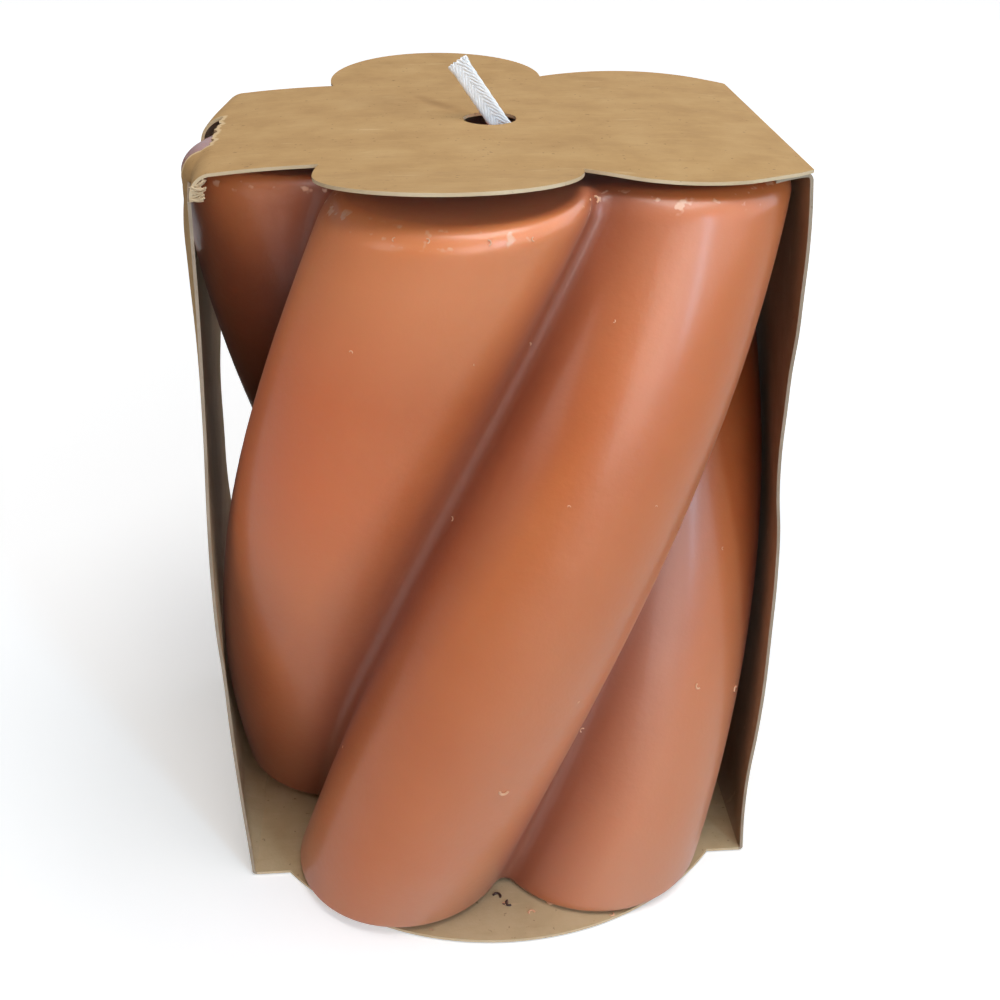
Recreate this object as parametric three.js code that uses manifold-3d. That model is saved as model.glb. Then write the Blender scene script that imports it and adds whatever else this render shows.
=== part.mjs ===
// Twisted pillar candle in a folded kraft card wrap.
//
// The candle is one moulded body of wax with five round strands that turn to the right as they
// rise. A cotton wick runs down its middle. One strip of card is folded round it: a round base
// panel under the candle, a wall on its left and right, and a lobed top panel with a hole for
// the wick. A narrow flap on the right wall is folded in under the top panel, where it is glued.
// Front and back are open.
//
// Millimetres, +Z up, the front of the wrap faces -Y. The origin is the middle of the base
// panel's underside.

import * as THREE from 'three';
import Module from 'manifold-3d';
import { mergeVertices } from 'three/addons/utils/BufferGeometryUtils.js';

const wasm = await Module();
wasm.setup();

// Card
const cardThickness = 0.5;
const clearance = 0.3;           // between pieces that touch on the real object

// Wax body
const waxHeight = 97.6;
const strandCount = 5;
const strandRadius = 14.8;
const strandOffset = 23.3;       // from the candle's axis to the middle of a strand
const grooveFillet = 1.7;        // radius of the round valley between two strands
const topRound = 4.8;
const footRound = 3;
const twistDegrees = 95.4;       // how far a strand turns over the candle's height
const twistBowDegrees = 2;       // it lags this far behind an even turn at half height
const topStrandDegrees = -29.1;  // where the front right strand stands at the top
const candleX = -0.42;
const candleY = -1.93;
const leanX = 0.6;               // the top stands this much further right than the foot

// Wick
const wickWidth = 2.4;
const wickDepth = 1.2;
const wickLength = 10.6;         // from the bend to the cut end
const wickLeanDegrees = 32;      // to the left
const wickX = 1.3;
const wickY = -0.6;
const wickBendBelowTop = 0.8;    // the bend lies this far below the top folds' height

// Card wrap
const wrapWidth = 70;            // outside, from the left folds to the right folds
const topRoom = 1.6;             // from the top of the wax to the outside of the top folds

// Base panel
const discRadius = 38.15;
const baseFoldLength = 45.2;

// Top panel
const leftArmWidth = 40;         // the left arm is as wide as the left wall's top fold
const rightFoldLength = 44.8;
const sideLobeRadius = 14.8;     // the front and back lobes
const sideLobeX = -6.2;
const sideLobeY = 24;
const notchX = 8.6;              // where a side lobe meets the right arm
const notchY = 24;
const armBulgeX = 21;            // widest point of the right arm's round edges
const armBulgeY = 27;
const topCrown = 1;              // the panel rises this far over the candle
const crownPower = 4;            // the higher, the flatter the crown and the steeper its edges
const frontCurl = 0.13;          // the front lobe rises this much a millimetre past its notch
const rearCurl = 0.04;           // and the back lobe this much
const lipRadius = 2.8;           // the left fold is soft and round
const lipDrop = 0.4;             // straight card below the round of the left fold
const lipBulge = 2.3;            // the candle presses the middle of the left fold out this far
const lipBulgeReach = 14;        // the bulge dies out over this length of card

// Hole for the wick in the top panel
const wickHoleRadius = 3.1;
const wickHoleX = -0.4;
const wickHoleY = -0.6;

// How far the walls bow outwards at their front edge, middle and rear edge, at shares of their
// height. The candle is wider than the wrap and presses them out. Each bow is a share of
// wallBow, and the left wall's top follows the bulge of the left fold.
const wallBow = 4;
const leftBow = [
  { up: 0, front: 0, middle: 0, rear: 0 },
  { up: 0.012, front: 0.01, middle: 0.84, rear: 0.17 },
  { up: 0.025, front: 0.01, middle: 0.98, rear: 0.31 },
  { up: 0.05, front: 0.02, middle: 1.02, rear: 0.5 },
  { up: 0.08, front: 0.06, middle: 1.07, rear: 0.69 },
  { up: 0.14, front: 0.13, middle: 1.17, rear: 0.95 },
  { up: 0.2, front: 0.2, middle: 1.25, rear: 1.19 },
  { up: 0.3, front: 0.34, middle: 1.27, rear: 1.34 },
  { up: 0.42, front: 0.45, middle: 1.05, rear: 1.44 },
  { up: 0.6, front: 0.38, middle: 0.99, rear: 1.28 },
  { up: 0.78, front: 0.18, middle: 0.94, rear: 0.87 },
  { up: 0.88, front: 0.11, middle: 1.04, rear: 0.56 },
  { up: 0.94, front: 0.09, middle: 1.01, rear: 0.32 },
  { up: 0.975, front: 0.06, middle: 0.87, rear: 0.17 },
  { up: 1, front: 0, middle: lipBulge / wallBow, rear: 0 },
];
const rightBow = [
  { up: 0, front: 0, middle: 0, rear: 0 },
  { up: 0.012, front: 0.01, middle: 0.4, rear: 0.1 },
  { up: 0.03, front: 0, middle: 0.6, rear: 0.25 },
  { up: 0.08, front: -0.06, middle: 0.68, rear: 0.45 },
  { up: 0.2, front: 0.1, middle: 0.76, rear: 0.68 },
  { up: 0.37, front: 0.22, middle: 0.88, rear: 0.8 },
  { up: 0.44, front: 0.21, middle: 0.93, rear: 0.8 },
  { up: 0.5, front: 0.17, middle: 0.97, rear: 0.8 },
  { up: 0.57, front: 0.04, middle: 0.97, rear: 0.76 },
  { up: 0.64, front: -0.07, middle: 0.89, rear: 0.7 },
  { up: 0.78, front: 0.04, middle: 0.72, rear: 0.52 },
  { up: 0.9, front: 0.12, middle: 0.46, rear: 0.3 },
  { up: 1, front: 0, middle: 0, rear: 0 },
];

// Closing flap
const flapWidth = 5;
const flapLength = 43;
const glueGap = 0.3;             // between the flap and the top panel above it

// Tear in the card across the left top fold, where a strand of the candle pokes through
const tearFront = -10.2;
const tearInnerFront = -7.3;
const tearRear = 6;
const tearIntoPanel = 1.8;
const tearDownWall = 14;
const tearSpread = 2;            // its sides are pulled apart by this much in the wall

// Fineness of the meshes
const pointsPerStrand = 14;
const bodyRings = 36;
const roundRings = 5;
const wallRows = 24;
const wallColumns = 10;
const panelColumns = 26;
const panelRows = 16;
const lipSteps = 8;
const arcSteps = 40;
const tearSteps = 8;
const slopeStep = 0.005;         // share of a wall's height over which its slope is taken

const cutMargin = 1;             // cutting solids reach this far past what they cut
const tearCutLength = 32;        // the tear is cut this long, slantwise through the fold

// Values that follow from the sizes above
const foldX = wrapWidth / 2;
const waxFoot = cardThickness + clearance;
const waxTop = waxFoot + waxHeight;
const wrapHeight = waxTop + topRoom;
const panelUnderside = wrapHeight - cardThickness;
const lipBottom = wrapHeight - lipRadius - lipDrop;
const flapTop = panelUnderside - glueGap;
const wickPivotZ = wrapHeight - wickBendBelowTop;
const leftWallTop = lipBottom - clearance;
const rightWallTop = flapTop;

const cardFinish = { color: 0xb58f5f, roughness: 0.9, metalness: 0 };
const waxFinish = { color: 0xc2693c, roughness: 0.45, metalness: 0 };
const wickFinish = { color: 0xeef2fa, roughness: 0.95, metalness: 0 };

// Helpers

function piece(name, geometry, finish) {
  const flat = geometry.index ? geometry.toNonIndexed() : geometry;
  flat.computeVertexNormals();
  const mesh = new THREE.Mesh(flat, new THREE.MeshStandardMaterial(finish));
  mesh.name = name;
  return mesh;
}

function toSolid(geometry) {
  const bare = geometry.clone();
  bare.deleteAttribute('normal');
  bare.deleteAttribute('uv');
  const merged = mergeVertices(bare, 1e-5);
  return new wasm.Manifold(new wasm.Mesh({
    numProp: 3,
    vertProperties: new Float32Array(merged.attributes.position.array),
    triVerts: new Uint32Array(merged.index.array),
  }));
}

function toGeometry(solid) {
  const mesh = solid.getMesh();
  const geometry = new THREE.BufferGeometry();
  geometry.setAttribute('position', new THREE.BufferAttribute(mesh.vertProperties, 3));
  geometry.setIndex(new THREE.BufferAttribute(mesh.triVerts, 1));
  return geometry;
}

function geometryFrom(points, faces) {
  const geometry = new THREE.BufferGeometry();
  geometry.setAttribute('position', new THREE.Float32BufferAttribute(points.flat(), 3));
  geometry.setIndex(faces.flat());
  return geometry;
}

// An upright prism over an outline in plan, from one height to another
function prism(shape, bottom, top) {
  const geometry = new THREE.ExtrudeGeometry(shape, {
    depth: top - bottom, bevelEnabled: false, curveSegments: arcSteps,
  });
  return geometry.translate(0, 0, bottom);
}

// A closed sheet between two surfaces that are given on one grid of columns and rows. Seen
// from the outer surface, the columns run to the right and the rows run up.
function sheet(columns, rows, outer, inner) {
  const points = [];
  for (const surface of [outer, inner]) {
    for (let row = 0; row <= rows; row++) {
      for (let column = 0; column <= columns; column++) {
        points.push(surface(column / columns, row / rows));
      }
    }
  }
  const perRow = columns + 1;
  const perSide = perRow * (rows + 1);
  const faces = [];
  const quad = (a, b, c, d) => faces.push([a, b, c], [a, c, d]);
  for (let row = 0; row < rows; row++) {
    for (let column = 0; column < columns; column++) {
      const a = row * perRow + column;
      quad(a, a + 1, a + 1 + perRow, a + perRow);
      quad(perSide + a, perSide + a + perRow, perSide + a + 1 + perRow, perSide + a + 1);
    }
  }
  for (let column = 0; column < columns; column++) {
    const top = rows * perRow + column;
    quad(column, perSide + column, perSide + column + 1, column + 1);
    quad(top, top + 1, perSide + top + 1, perSide + top);
  }
  for (let row = 0; row < rows; row++) {
    const left = row * perRow;
    const right = left + columns;
    quad(left, left + perRow, perSide + left + perRow, perSide + left);
    quad(right, perSide + right, perSide + right + perRow, right + perRow);
  }
  return geometryFrom(points, faces);
}

// Wax body

// Distance from the candle's axis to the outline, at an angle from the middle of a strand. The
// strand is a circle, and a round valley touches two neighbouring strands.
const halfPitch = Math.PI / strandCount;
const valleyReach = strandRadius + grooveFillet;
const valleyOffset = strandOffset * Math.cos(halfPitch)
  + Math.sqrt(valleyReach ** 2 - (strandOffset * Math.sin(halfPitch)) ** 2);
const touchShare = strandRadius / valleyReach;
const touchX = strandOffset + (valleyOffset * Math.cos(halfPitch) - strandOffset) * touchShare;
const touchY = valleyOffset * Math.sin(halfPitch) * touchShare;
const touchAngle = Math.atan2(touchY, touchX);

function waxRadius(angle) {
  const pitch = 2 * halfPitch;
  const fromStrand = Math.abs(angle - pitch * Math.round(angle / pitch));
  if (fromStrand <= touchAngle) {
    return strandOffset * Math.cos(fromStrand)
      + Math.sqrt(strandRadius ** 2 - (strandOffset * Math.sin(fromStrand)) ** 2);
  }
  const fromValley = halfPitch - fromStrand;
  return valleyOffset * Math.cos(fromValley)
    - Math.sqrt(grooveFillet ** 2 - (valleyOffset * Math.sin(fromValley)) ** 2);
}

// Heights of the rings above the wax's foot, each with how far its outline is drawn in there
function waxLevels() {
  const levels = [];
  for (let step = 0; step < roundRings; step++) {
    const turn = (Math.PI / 2) * (step / roundRings);
    levels.push({
      height: footRound * (1 - Math.cos(turn)),
      drawnIn: footRound * (1 - Math.sin(turn)),
    });
  }
  const straight = waxHeight - footRound - topRound;
  for (let ring = 0; ring <= bodyRings; ring++) {
    levels.push({ height: footRound + straight * (ring / bodyRings), drawnIn: 0 });
  }
  for (let step = 1; step <= roundRings; step++) {
    const turn = (Math.PI / 2) * (step / roundRings);
    levels.push({
      height: waxHeight - topRound * (1 - Math.sin(turn)),
      drawnIn: topRound * (1 - Math.cos(turn)),
    });
  }
  return levels;
}

function waxBody() {
  const around = strandCount * pointsPerStrand;
  const levels = waxLevels();
  const points = [];
  for (const { height, drawnIn } of levels) {
    const below = 1 - height / waxHeight;
    const lag = twistBowDegrees * 4 * below * (1 - below);
    const turn = THREE.MathUtils.degToRad(topStrandDegrees - twistDegrees * below - lag);
    const middleX = candleX + leanX * (0.5 - below);
    for (let step = 0; step < around; step++) {
      const angle = (2 * Math.PI * step) / around;
      const radius = waxRadius(angle) - drawnIn;
      points.push([
        middleX + radius * Math.cos(angle + turn),
        candleY + radius * Math.sin(angle + turn),
        waxFoot + height,
      ]);
    }
  }
  const faces = [];
  for (let level = 0; level + 1 < levels.length; level++) {
    for (let step = 0; step < around; step++) {
      const a = level * around + step;
      const b = level * around + (step + 1) % around;
      faces.push([a, b, b + around], [a, b + around, a + around]);
    }
  }
  const footMiddle = points.push([candleX, candleY, waxFoot]) - 1;
  const topMiddle = points.push([candleX, candleY, waxTop]) - 1;
  const lastRing = (levels.length - 1) * around;
  for (let step = 0; step < around; step++) {
    const next = (step + 1) % around;
    faces.push([footMiddle, next, step], [topMiddle, lastRing + step, lastRing + next]);
  }
  const moulded = toSolid(geometryFrom(points, faces));
  const bore = toSolid(prism(wickSection(clearance), waxFoot - cutMargin, waxTop + cutMargin));
  return toGeometry(moulded.subtract(bore));
}

// Wick

// The flat wick's section in plan, with round sides, wider all round by a margin
function wickSection(margin) {
  const halfWidth = wickWidth / 2 + margin;
  const round = wickDepth / 2 + margin;
  const shape = new THREE.Shape();
  shape.absarc(wickX + halfWidth - round, wickY, round, -Math.PI / 2, Math.PI / 2);
  shape.absarc(wickX - halfWidth + round, wickY, round, Math.PI / 2, (3 * Math.PI) / 2);
  return shape;
}

function wickCore() {
  const top = wickPivotZ - wickWidth / 2 - clearance;
  return prism(wickSection(0), waxFoot, top);
}

// The part of the wick that stands out of the wax, round at the bend and cut off square
function wickTip() {
  const half = wickWidth / 2;
  const outline = new THREE.Shape();
  outline.absarc(0, 0, half, Math.PI, 2 * Math.PI);
  outline.lineTo(half, wickLength);
  outline.lineTo(-half, wickLength);
  const tip = new THREE.ExtrudeGeometry(outline, {
    depth: wickDepth, bevelEnabled: false, curveSegments: arcSteps / 4,
  });
  return tip.translate(0, 0, -wickDepth / 2).rotateX(Math.PI / 2);
}

// Card wrap

function basePanel() {
  const edgeX = foldX - cardThickness - clearance;
  const halfFold = baseFoldLength / 2;
  const meet = Math.asin(halfFold / discRadius);
  const outline = new THREE.Shape();
  outline.moveTo(-edgeX, halfFold);
  outline.lineTo(-edgeX, -halfFold);
  outline.absarc(0, 0, discRadius, meet - Math.PI, -meet);
  outline.lineTo(edgeX, -halfFold);
  outline.lineTo(edgeX, halfFold);
  outline.absarc(0, 0, discRadius, meet, Math.PI - meet);
  return prism(outline, 0, cardThickness);
}

// The outline of the top panel in plan. Its front and back edges are mirror images.
function topOutline() {
  const halfArm = leftArmWidth / 2;
  const halfFold = rightFoldLength / 2;
  const lobe = new THREE.Vector2(sideLobeX, sideLobeY);
  const armMeet = Math.PI + Math.asin((sideLobeY - halfArm) / sideLobeRadius);
  const notchMeet = Math.atan2(notchY - sideLobeY, notchX - sideLobeX);
  const round = circleThrough(
    new THREE.Vector2(notchX, notchY),
    new THREE.Vector2(armBulgeX, armBulgeY),
    new THREE.Vector2(foldX, halfFold),
  );
  const start = Math.atan2(notchY - round.y, notchX - round.x);
  const end = Math.atan2(halfFold - round.y, foldX - round.x);
  const outline = new THREE.Shape();
  const leftEnd = -foldX - lipBulge - cutMargin;
  outline.moveTo(leftEnd, halfArm);
  outline.lineTo(leftEnd, -halfArm);
  outline.absarc(lobe.x, -lobe.y, sideLobeRadius, -armMeet, -notchMeet);
  outline.absarc(round.x, -round.y, round.radius, -start, -end);
  outline.absarc(round.x, round.y, round.radius, end, start);
  outline.absarc(lobe.x, lobe.y, sideLobeRadius, notchMeet, armMeet);
  return outline;
}

function circleThrough(a, b, c) {
  const [aa, bb, cc] = [a, b, c].map((point) => point.lengthSq());
  const area = a.x * (b.y - c.y) + b.x * (c.y - a.y) + c.x * (a.y - b.y);
  const x = (aa * (b.y - c.y) + bb * (c.y - a.y) + cc * (a.y - b.y)) / (2 * area);
  const y = (aa * (c.x - b.x) + bb * (a.x - c.x) + cc * (b.x - a.x)) / (2 * area);
  return { x, y, radius: Math.hypot(a.x - x, a.y - y) };
}

// The side view of the top panel's outer face, from the lower end of the lip, round the left
// fold and over the low crown to the right fold. Each point has the angle at which the face
// looks out, and the share of the left fold's bulge that it takes.
function topSection() {
  const lipX = -foldX + lipRadius;
  const lipZ = wrapHeight - lipRadius;
  const span = foldX - lipX;
  const section = [{ x: -foldX, z: lipBottom, facing: Math.PI, bulge: 1 }];
  for (let step = 0; step <= lipSteps; step++) {
    const turned = (Math.PI / 2) * (step / lipSteps);
    const facing = Math.PI - turned;
    const along = lipRadius * turned;
    section.push({
      x: lipX + lipRadius * Math.cos(facing),
      z: lipZ + lipRadius * Math.sin(facing),
      facing,
      bulge: 1 - along / lipBulgeReach,
    });
  }
  for (let column = 1; column <= panelColumns; column++) {
    const share = column / panelColumns;
    const along = lipRadius * (Math.PI / 2) + span * share;
    section.push({
      x: lipX + span * share,
      z: wrapHeight + topCrown * (1 - Math.abs(2 * share - 1) ** crownPower),
      facing: Math.PI / 2,
      bulge: Math.max(0, 1 - along / lipBulgeReach),
    });
  }
  return section;
}

function topPanel() {
  const section = topSection();
  const reach = sideLobeY + sideLobeRadius + cutMargin;
  const surface = (depth) => (across, along) => {
    const { x, z, facing, bulge } = section[Math.round(across * (section.length - 1))];
    const y = reach * (2 * along - 1);
    const place = Math.min(1, Math.abs(y) / (leftArmWidth / 2));
    const curled = Math.max(0, Math.abs(y) - notchY) * (y < 0 ? frontCurl : rearCurl);
    return [
      x - lipBulge * bulge * (1 - place * place) - depth * Math.cos(facing),
      y,
      z + curled - depth * Math.sin(facing),
    ];
  };
  const slab = sheet(section.length - 1, panelRows, surface(0), surface(cardThickness));
  const hole = new THREE.Shape();
  hole.absarc(wickHoleX, wickHoleY, wickHoleRadius, 0, 2 * Math.PI);
  const cutTop = wrapHeight + topCrown + frontCurl * reach + cutMargin;
  const panel = toSolid(slab)
    .intersect(toSolid(prism(topOutline(), lipBottom - cutMargin, cutTop)))
    .subtract(toSolid(prism(hole, panelUnderside - cutMargin, cutTop)))
    .subtract(toSolid(tear()));
  return toGeometry(panel);
}

// The tear, as a solid that goes slantwise through the fold. In its outline, x is the distance
// along the fold and y is the distance from the fold, up into the panel or down the wall.
function tear() {
  const slant = Math.SQRT1_2;
  const inward = tearIntoPanel * slant;
  const down = -tearDownWall * slant;
  const middle = (tearFront + tearRear) / 2;
  const outline = new THREE.Shape();
  outline.moveTo(tearRear, 0);
  outline.lineTo(tearRear, inward);
  outline.lineTo(tearInnerFront, inward);
  outline.quadraticCurveTo(tearFront, inward, tearFront, 0);
  outline.quadraticCurveTo(tearFront - tearSpread, down, middle, down);
  outline.quadraticCurveTo(tearRear + tearSpread, down, tearRear, 0);
  const cutter = new THREE.ExtrudeGeometry(outline, {
    depth: tearCutLength, bevelEnabled: false, curveSegments: tearSteps,
  });
  // Outline x runs along Y, outline y along +X+Z, and the cut runs along +X-Z
  const place = new THREE.Matrix4().makeBasis(
    new THREE.Vector3(0, 1, 0),
    new THREE.Vector3(slant, 0, slant),
    new THREE.Vector3(slant, 0, -slant),
  );
  const start = (tearCutLength / 2) * slant;
  place.setPosition(-foldX - start, 0, wrapHeight + start);
  return cutter.applyMatrix4(place);
}

// How far a wall bows outwards, as a function of the share of its height and of the place
// across it, from -1 at the front edge to 1 at the rear edge
function bowCurve(table) {
  const shares = table.map((row) => row.up);
  const bows = table.flatMap(({ front, middle, rear }) => [front, middle, rear]);
  const curve = new THREE.CubicInterpolant(shares, bows, 3);
  return (up, place) => {
    const [front, middle, rear] = curve.evaluate(up);
    const slope = (rear - front) / 2;
    const bend = (rear + front) / 2 - middle;
    return wallBow * (middle + slope * place + bend * place * place);
  };
}

// A bowed wall on one side, -1 for the left and 1 for the right. Its rows lie closer together
// near the folds.
function bowedWall(side, topFoldLength, height, bowTable) {
  const halfTop = topFoldLength / 2;
  const halfBase = baseFoldLength / 2;
  const bow = bowCurve(bowTable);
  const surface = (depth) => (across, rise) => {
    const place = side * (2 * across - 1);
    const up = (1 - Math.cos(Math.PI * rise)) / 2;
    const half = halfBase + (halfTop - halfBase) * up;
    const outwards = bow(up + slopeStep, place) - bow(up - slopeStep, place);
    const lean = Math.atan2(outwards, 2 * slopeStep * height);
    return [
      side * (foldX + bow(up, place) - depth * Math.cos(lean)),
      place * half,
      height * up + depth * Math.sin(lean),
    ];
  };
  return sheet(wallColumns, wallRows, surface(0), surface(cardThickness));
}

function leftWall() {
  const wall = toSolid(bowedWall(-1, leftArmWidth, leftWallTop, leftBow));
  return toGeometry(wall.subtract(toSolid(tear())));
}

function rightWall() {
  return bowedWall(1, rightFoldLength, rightWallTop, rightBow);
}

function closingFlap() {
  const flap = new THREE.BoxGeometry(flapWidth, flapLength, cardThickness);
  const rightEnd = foldX - cardThickness - clearance;
  return flap.translate(rightEnd - flapWidth / 2, 0, flapTop - cardThickness / 2);
}

// Assembly

const candle = new THREE.Group();
candle.add(piece('wax_body', waxBody(), waxFinish));
candle.add(piece('wick_core', wickCore(), wickFinish));

const tip = piece('wick_tip', wickTip(), wickFinish);
tip.position.set(wickX, wickY, wickPivotZ);
tip.rotation.y = -THREE.MathUtils.degToRad(wickLeanDegrees);
candle.add(tip);

const wrap = new THREE.Group();
wrap.add(piece('base_panel', basePanel(), cardFinish));
wrap.add(piece('left_wall', leftWall(), cardFinish));
wrap.add(piece('top_panel', topPanel(), cardFinish));
wrap.add(piece('right_wall', rightWall(), cardFinish));
wrap.add(piece('closing_flap', closingFlap(), cardFinish));

const wrappedCandle = new THREE.Group();
wrappedCandle.add(wrap, candle);

export default wrappedCandle;
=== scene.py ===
# %% [markdown]
# # A twisted pillar candle in a folded kraft card wrap
#
# The imported CAD model is the fixed frame: it says where every part is and how the folds turn.
# This lesson dresses it. The wax, the wick and the card are rebuilt as finer pieces that stand
# for the CAD's plain solids. The wax, the crumbs and the base panel ride on the body named base,
# and the frayed fibres on the top panel's body.

# %% Load the imported model
import math

import bpy
import numpy as np
from mathutils import Matrix, Vector
from mathutils.geometry import delaunay_2d_cdt


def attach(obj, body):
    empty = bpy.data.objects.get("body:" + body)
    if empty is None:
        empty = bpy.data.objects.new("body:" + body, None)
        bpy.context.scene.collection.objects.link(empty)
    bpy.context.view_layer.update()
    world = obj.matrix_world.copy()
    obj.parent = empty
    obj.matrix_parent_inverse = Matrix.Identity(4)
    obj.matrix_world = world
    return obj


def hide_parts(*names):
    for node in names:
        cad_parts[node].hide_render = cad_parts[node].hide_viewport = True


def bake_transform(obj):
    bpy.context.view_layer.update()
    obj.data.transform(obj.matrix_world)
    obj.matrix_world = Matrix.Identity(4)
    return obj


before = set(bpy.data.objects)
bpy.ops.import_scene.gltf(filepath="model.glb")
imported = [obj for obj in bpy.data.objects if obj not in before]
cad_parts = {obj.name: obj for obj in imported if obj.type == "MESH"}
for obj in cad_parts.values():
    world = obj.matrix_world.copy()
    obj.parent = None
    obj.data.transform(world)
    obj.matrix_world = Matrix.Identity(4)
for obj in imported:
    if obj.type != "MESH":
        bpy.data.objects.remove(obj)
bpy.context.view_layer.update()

MM = 0.001
print("CAD nodes:", sorted(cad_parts))

# %% [markdown]
# ## Camera
#
# The photograph was taken from a little left of the middle and from above. The place, the angle
# and the lens were solved from the folds of the wrap. The lens is shifted upwards a little, as
# for a crop of a wider picture, because the folds fit best that way.

# %% Camera at the photograph's angle
CAMERA_PLACE = Vector((-10.966, -163.866, 140.473)) * MM
CAMERA_DOWN = 0.44784
CAMERA_RIGHT = 0.07505
CAMERA_ROLL = 0.00511
SENSOR_WIDTH = 36.0
LENS_IN_PIXELS = 1314.2
PICTURE_WIDTH = 1000  # pixels
SHIFT_Y = -0.1


def camera_turn(down, right, roll):
    """The camera's axes in the world, from its three angles in radians."""
    forward = Vector((math.sin(right) * math.cos(down), math.cos(right) * math.cos(down),
                      -math.sin(down)))
    across = Vector((math.cos(right), -math.sin(right), 0))
    above = across.cross(forward)
    rolled_across = across * math.cos(roll) + above * math.sin(roll)
    rolled_above = above * math.cos(roll) - across * math.sin(roll)
    return Matrix((rolled_across, rolled_above, -forward)).transposed()


camera_data = bpy.data.cameras.new("camera")
camera_data.sensor_width = SENSOR_WIDTH
camera_data.lens = LENS_IN_PIXELS * SENSOR_WIDTH / PICTURE_WIDTH
camera_data.shift_y = SHIFT_Y
camera_data.clip_start = 0.01
camera = bpy.data.objects.new("camera", camera_data)
camera.matrix_world = (Matrix.Translation(CAMERA_PLACE)
                       @ camera_turn(CAMERA_DOWN, CAMERA_RIGHT, CAMERA_ROLL).to_4x4())
bpy.context.scene.collection.objects.link(camera)
bpy.context.scene.camera = camera
print("lens in mm:", round(camera_data.lens, 2))

# %% [markdown]
# ## Light, floor and backdrop
#
# The light in the photograph is soft and seems to come from above, the front and the right, over
# a pale table. One large lamp above stands for the ceiling's light, a lower one for the window, which
# gives the long sheen on the strands, and two weak ones light the room. The world is nearly dark
# but for what shines in the wax: reflections see a pale room on the right and a dim one on the
# left. Camera rays see a white world, and they see the floor a little brighter than it is, the
# more so the further it is from the candle. So the backdrop is white and the shadow stays.


# %% Helpers for colours, nodes and materials
def colour(red, green, blue):
    """A colour as picked on a screen, from 0 to 255, turned into the linear values of a shader."""
    channels = [value / 255 for value in (red, green, blue)]
    return tuple(c / 12.92 if c <= 0.04045 else ((c + 0.055) / 1.055) ** 2.4
                 for c in channels) + (1.0,)


def add_node(tree, kind, **settings):
    """A node of that kind in the tree, with the given settings."""
    node = tree.nodes.new(kind)
    for name, value in settings.items():
        setattr(node, name, value)
    return node


def new_material(name):
    """An empty material with its node tree and a Principled shader wired to the output."""
    material = bpy.data.materials.new(name)
    material.use_nodes = True
    tree = material.node_tree
    tree.nodes.clear()
    shader = add_node(tree, "ShaderNodeBsdfPrincipled")
    output = add_node(tree, "ShaderNodeOutputMaterial")
    tree.links.new(shader.outputs["BSDF"], output.inputs["Surface"])
    return material, tree, shader


# %% [markdown]
# ## Arithmetic in node trees
#
# The candle's form and several patterns follow a formula. A Math node does one step of it, so a
# formula of any length is a long chain of nodes. This small class lets the chain be written as
# plain arithmetic: each operator adds its Math node and links it.


# %% Formula helper
class Formula:
    """A number that flows through a node tree. Arithmetic on it adds Math nodes."""

    def __init__(self, tree, socket):
        self.tree = tree
        self.socket = socket

    def step(self, operation, *others):
        node = self.tree.nodes.new("ShaderNodeMath")
        node.operation = operation
        for place, value in enumerate((self, *others)):
            if isinstance(value, Formula):
                self.tree.links.new(value.socket, node.inputs[place])
            else:
                node.inputs[place].default_value = value
        return Formula(self.tree, node.outputs[0])

    def __add__(self, other):
        return self.step("ADD", other)

    def __sub__(self, other):
        return self.step("SUBTRACT", other)

    def __mul__(self, other):
        return self.step("MULTIPLY", other)

    def __truediv__(self, other):
        return self.step("DIVIDE", other)

    def sin(self):
        return self.step("SINE")

    def cos(self):
        return self.step("COSINE")

    def root(self):
        return self.step("SQRT")

    def size(self):
        return self.step("ABSOLUTE")

    def less_than(self, other):
        return self.step("LESS_THAN", other)

    def turn_to(self, across):
        return self.step("ARCTAN2", across)

    def share(self, start, end):
        """0 before start, 1 after end, and even in between."""
        node = self.tree.nodes.new("ShaderNodeMapRange")
        self.tree.links.new(self.socket, node.inputs["Value"])
        for name, value in (("From Min", start), ("From Max", end)):
            if isinstance(value, Formula):
                self.tree.links.new(value.socket, node.inputs[name])
            else:
                node.inputs[name].default_value = value
        return Formula(self.tree, node.outputs["Result"])


def vector_from(tree, x, y, z):
    """A vector socket from three numbers or formulas."""
    node = tree.nodes.new("ShaderNodeCombineXYZ")
    for place, value in enumerate((x, y, z)):
        if isinstance(value, Formula):
            tree.links.new(value.socket, node.inputs[place])
        else:
            node.inputs[place].default_value = value
    return node.outputs[0]


def parts_of(tree, socket):
    """The three components of a vector socket, as formulas."""
    node = tree.nodes.new("ShaderNodeSeparateXYZ")
    tree.links.new(socket, node.inputs[0])
    return [Formula(tree, output) for output in node.outputs]


# %% [markdown]
# ## Lamps, world and floor
#
# The lamps are area lamps, and the window is tall, so its sheen runs up over the strands' rims.
# Its light is bluish, as daylight is beside the warm room. The floor reaches three metres out, so
# that its far edge lies beyond the picture.

# %% Lamps, world and floor
def soft_lamp(name, place, target, width, height, power, tint=(1, 1, 1)):
    """An area lamp that faces a point. Place, target, width and height are in metres."""
    data = bpy.data.lights.new(name, "AREA")
    data.color = tint
    data.shape = "RECTANGLE"
    data.size = width
    data.size_y = height
    data.energy = power
    lamp = bpy.data.objects.new(name, data)
    lamp.location = place
    aim = Vector(target) - Vector(place)
    lamp.rotation_euler = aim.to_track_quat("-Z", "Y").to_euler()
    bpy.context.scene.collection.objects.link(lamp)


soft_lamp("ceiling_light", (0.10, -0.10, 0.62), (0, 0, 0.05), 0.36, 0.36, 2.5)
soft_lamp("room_front_light", (0.12, -0.70, 0.20), (0, 0, 0.06), 0.34, 0.34, 1.1)
soft_lamp("window_light", (0.37, -0.60, 0.32), (0, 0, 0.08), 0.08, 0.44, 1.5, (0.42, 0.74, 1.0))
soft_lamp("left_light", (-0.62, -0.34, 0.35), (0, 0, 0.06), 0.30, 0.30, 0.62)

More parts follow.
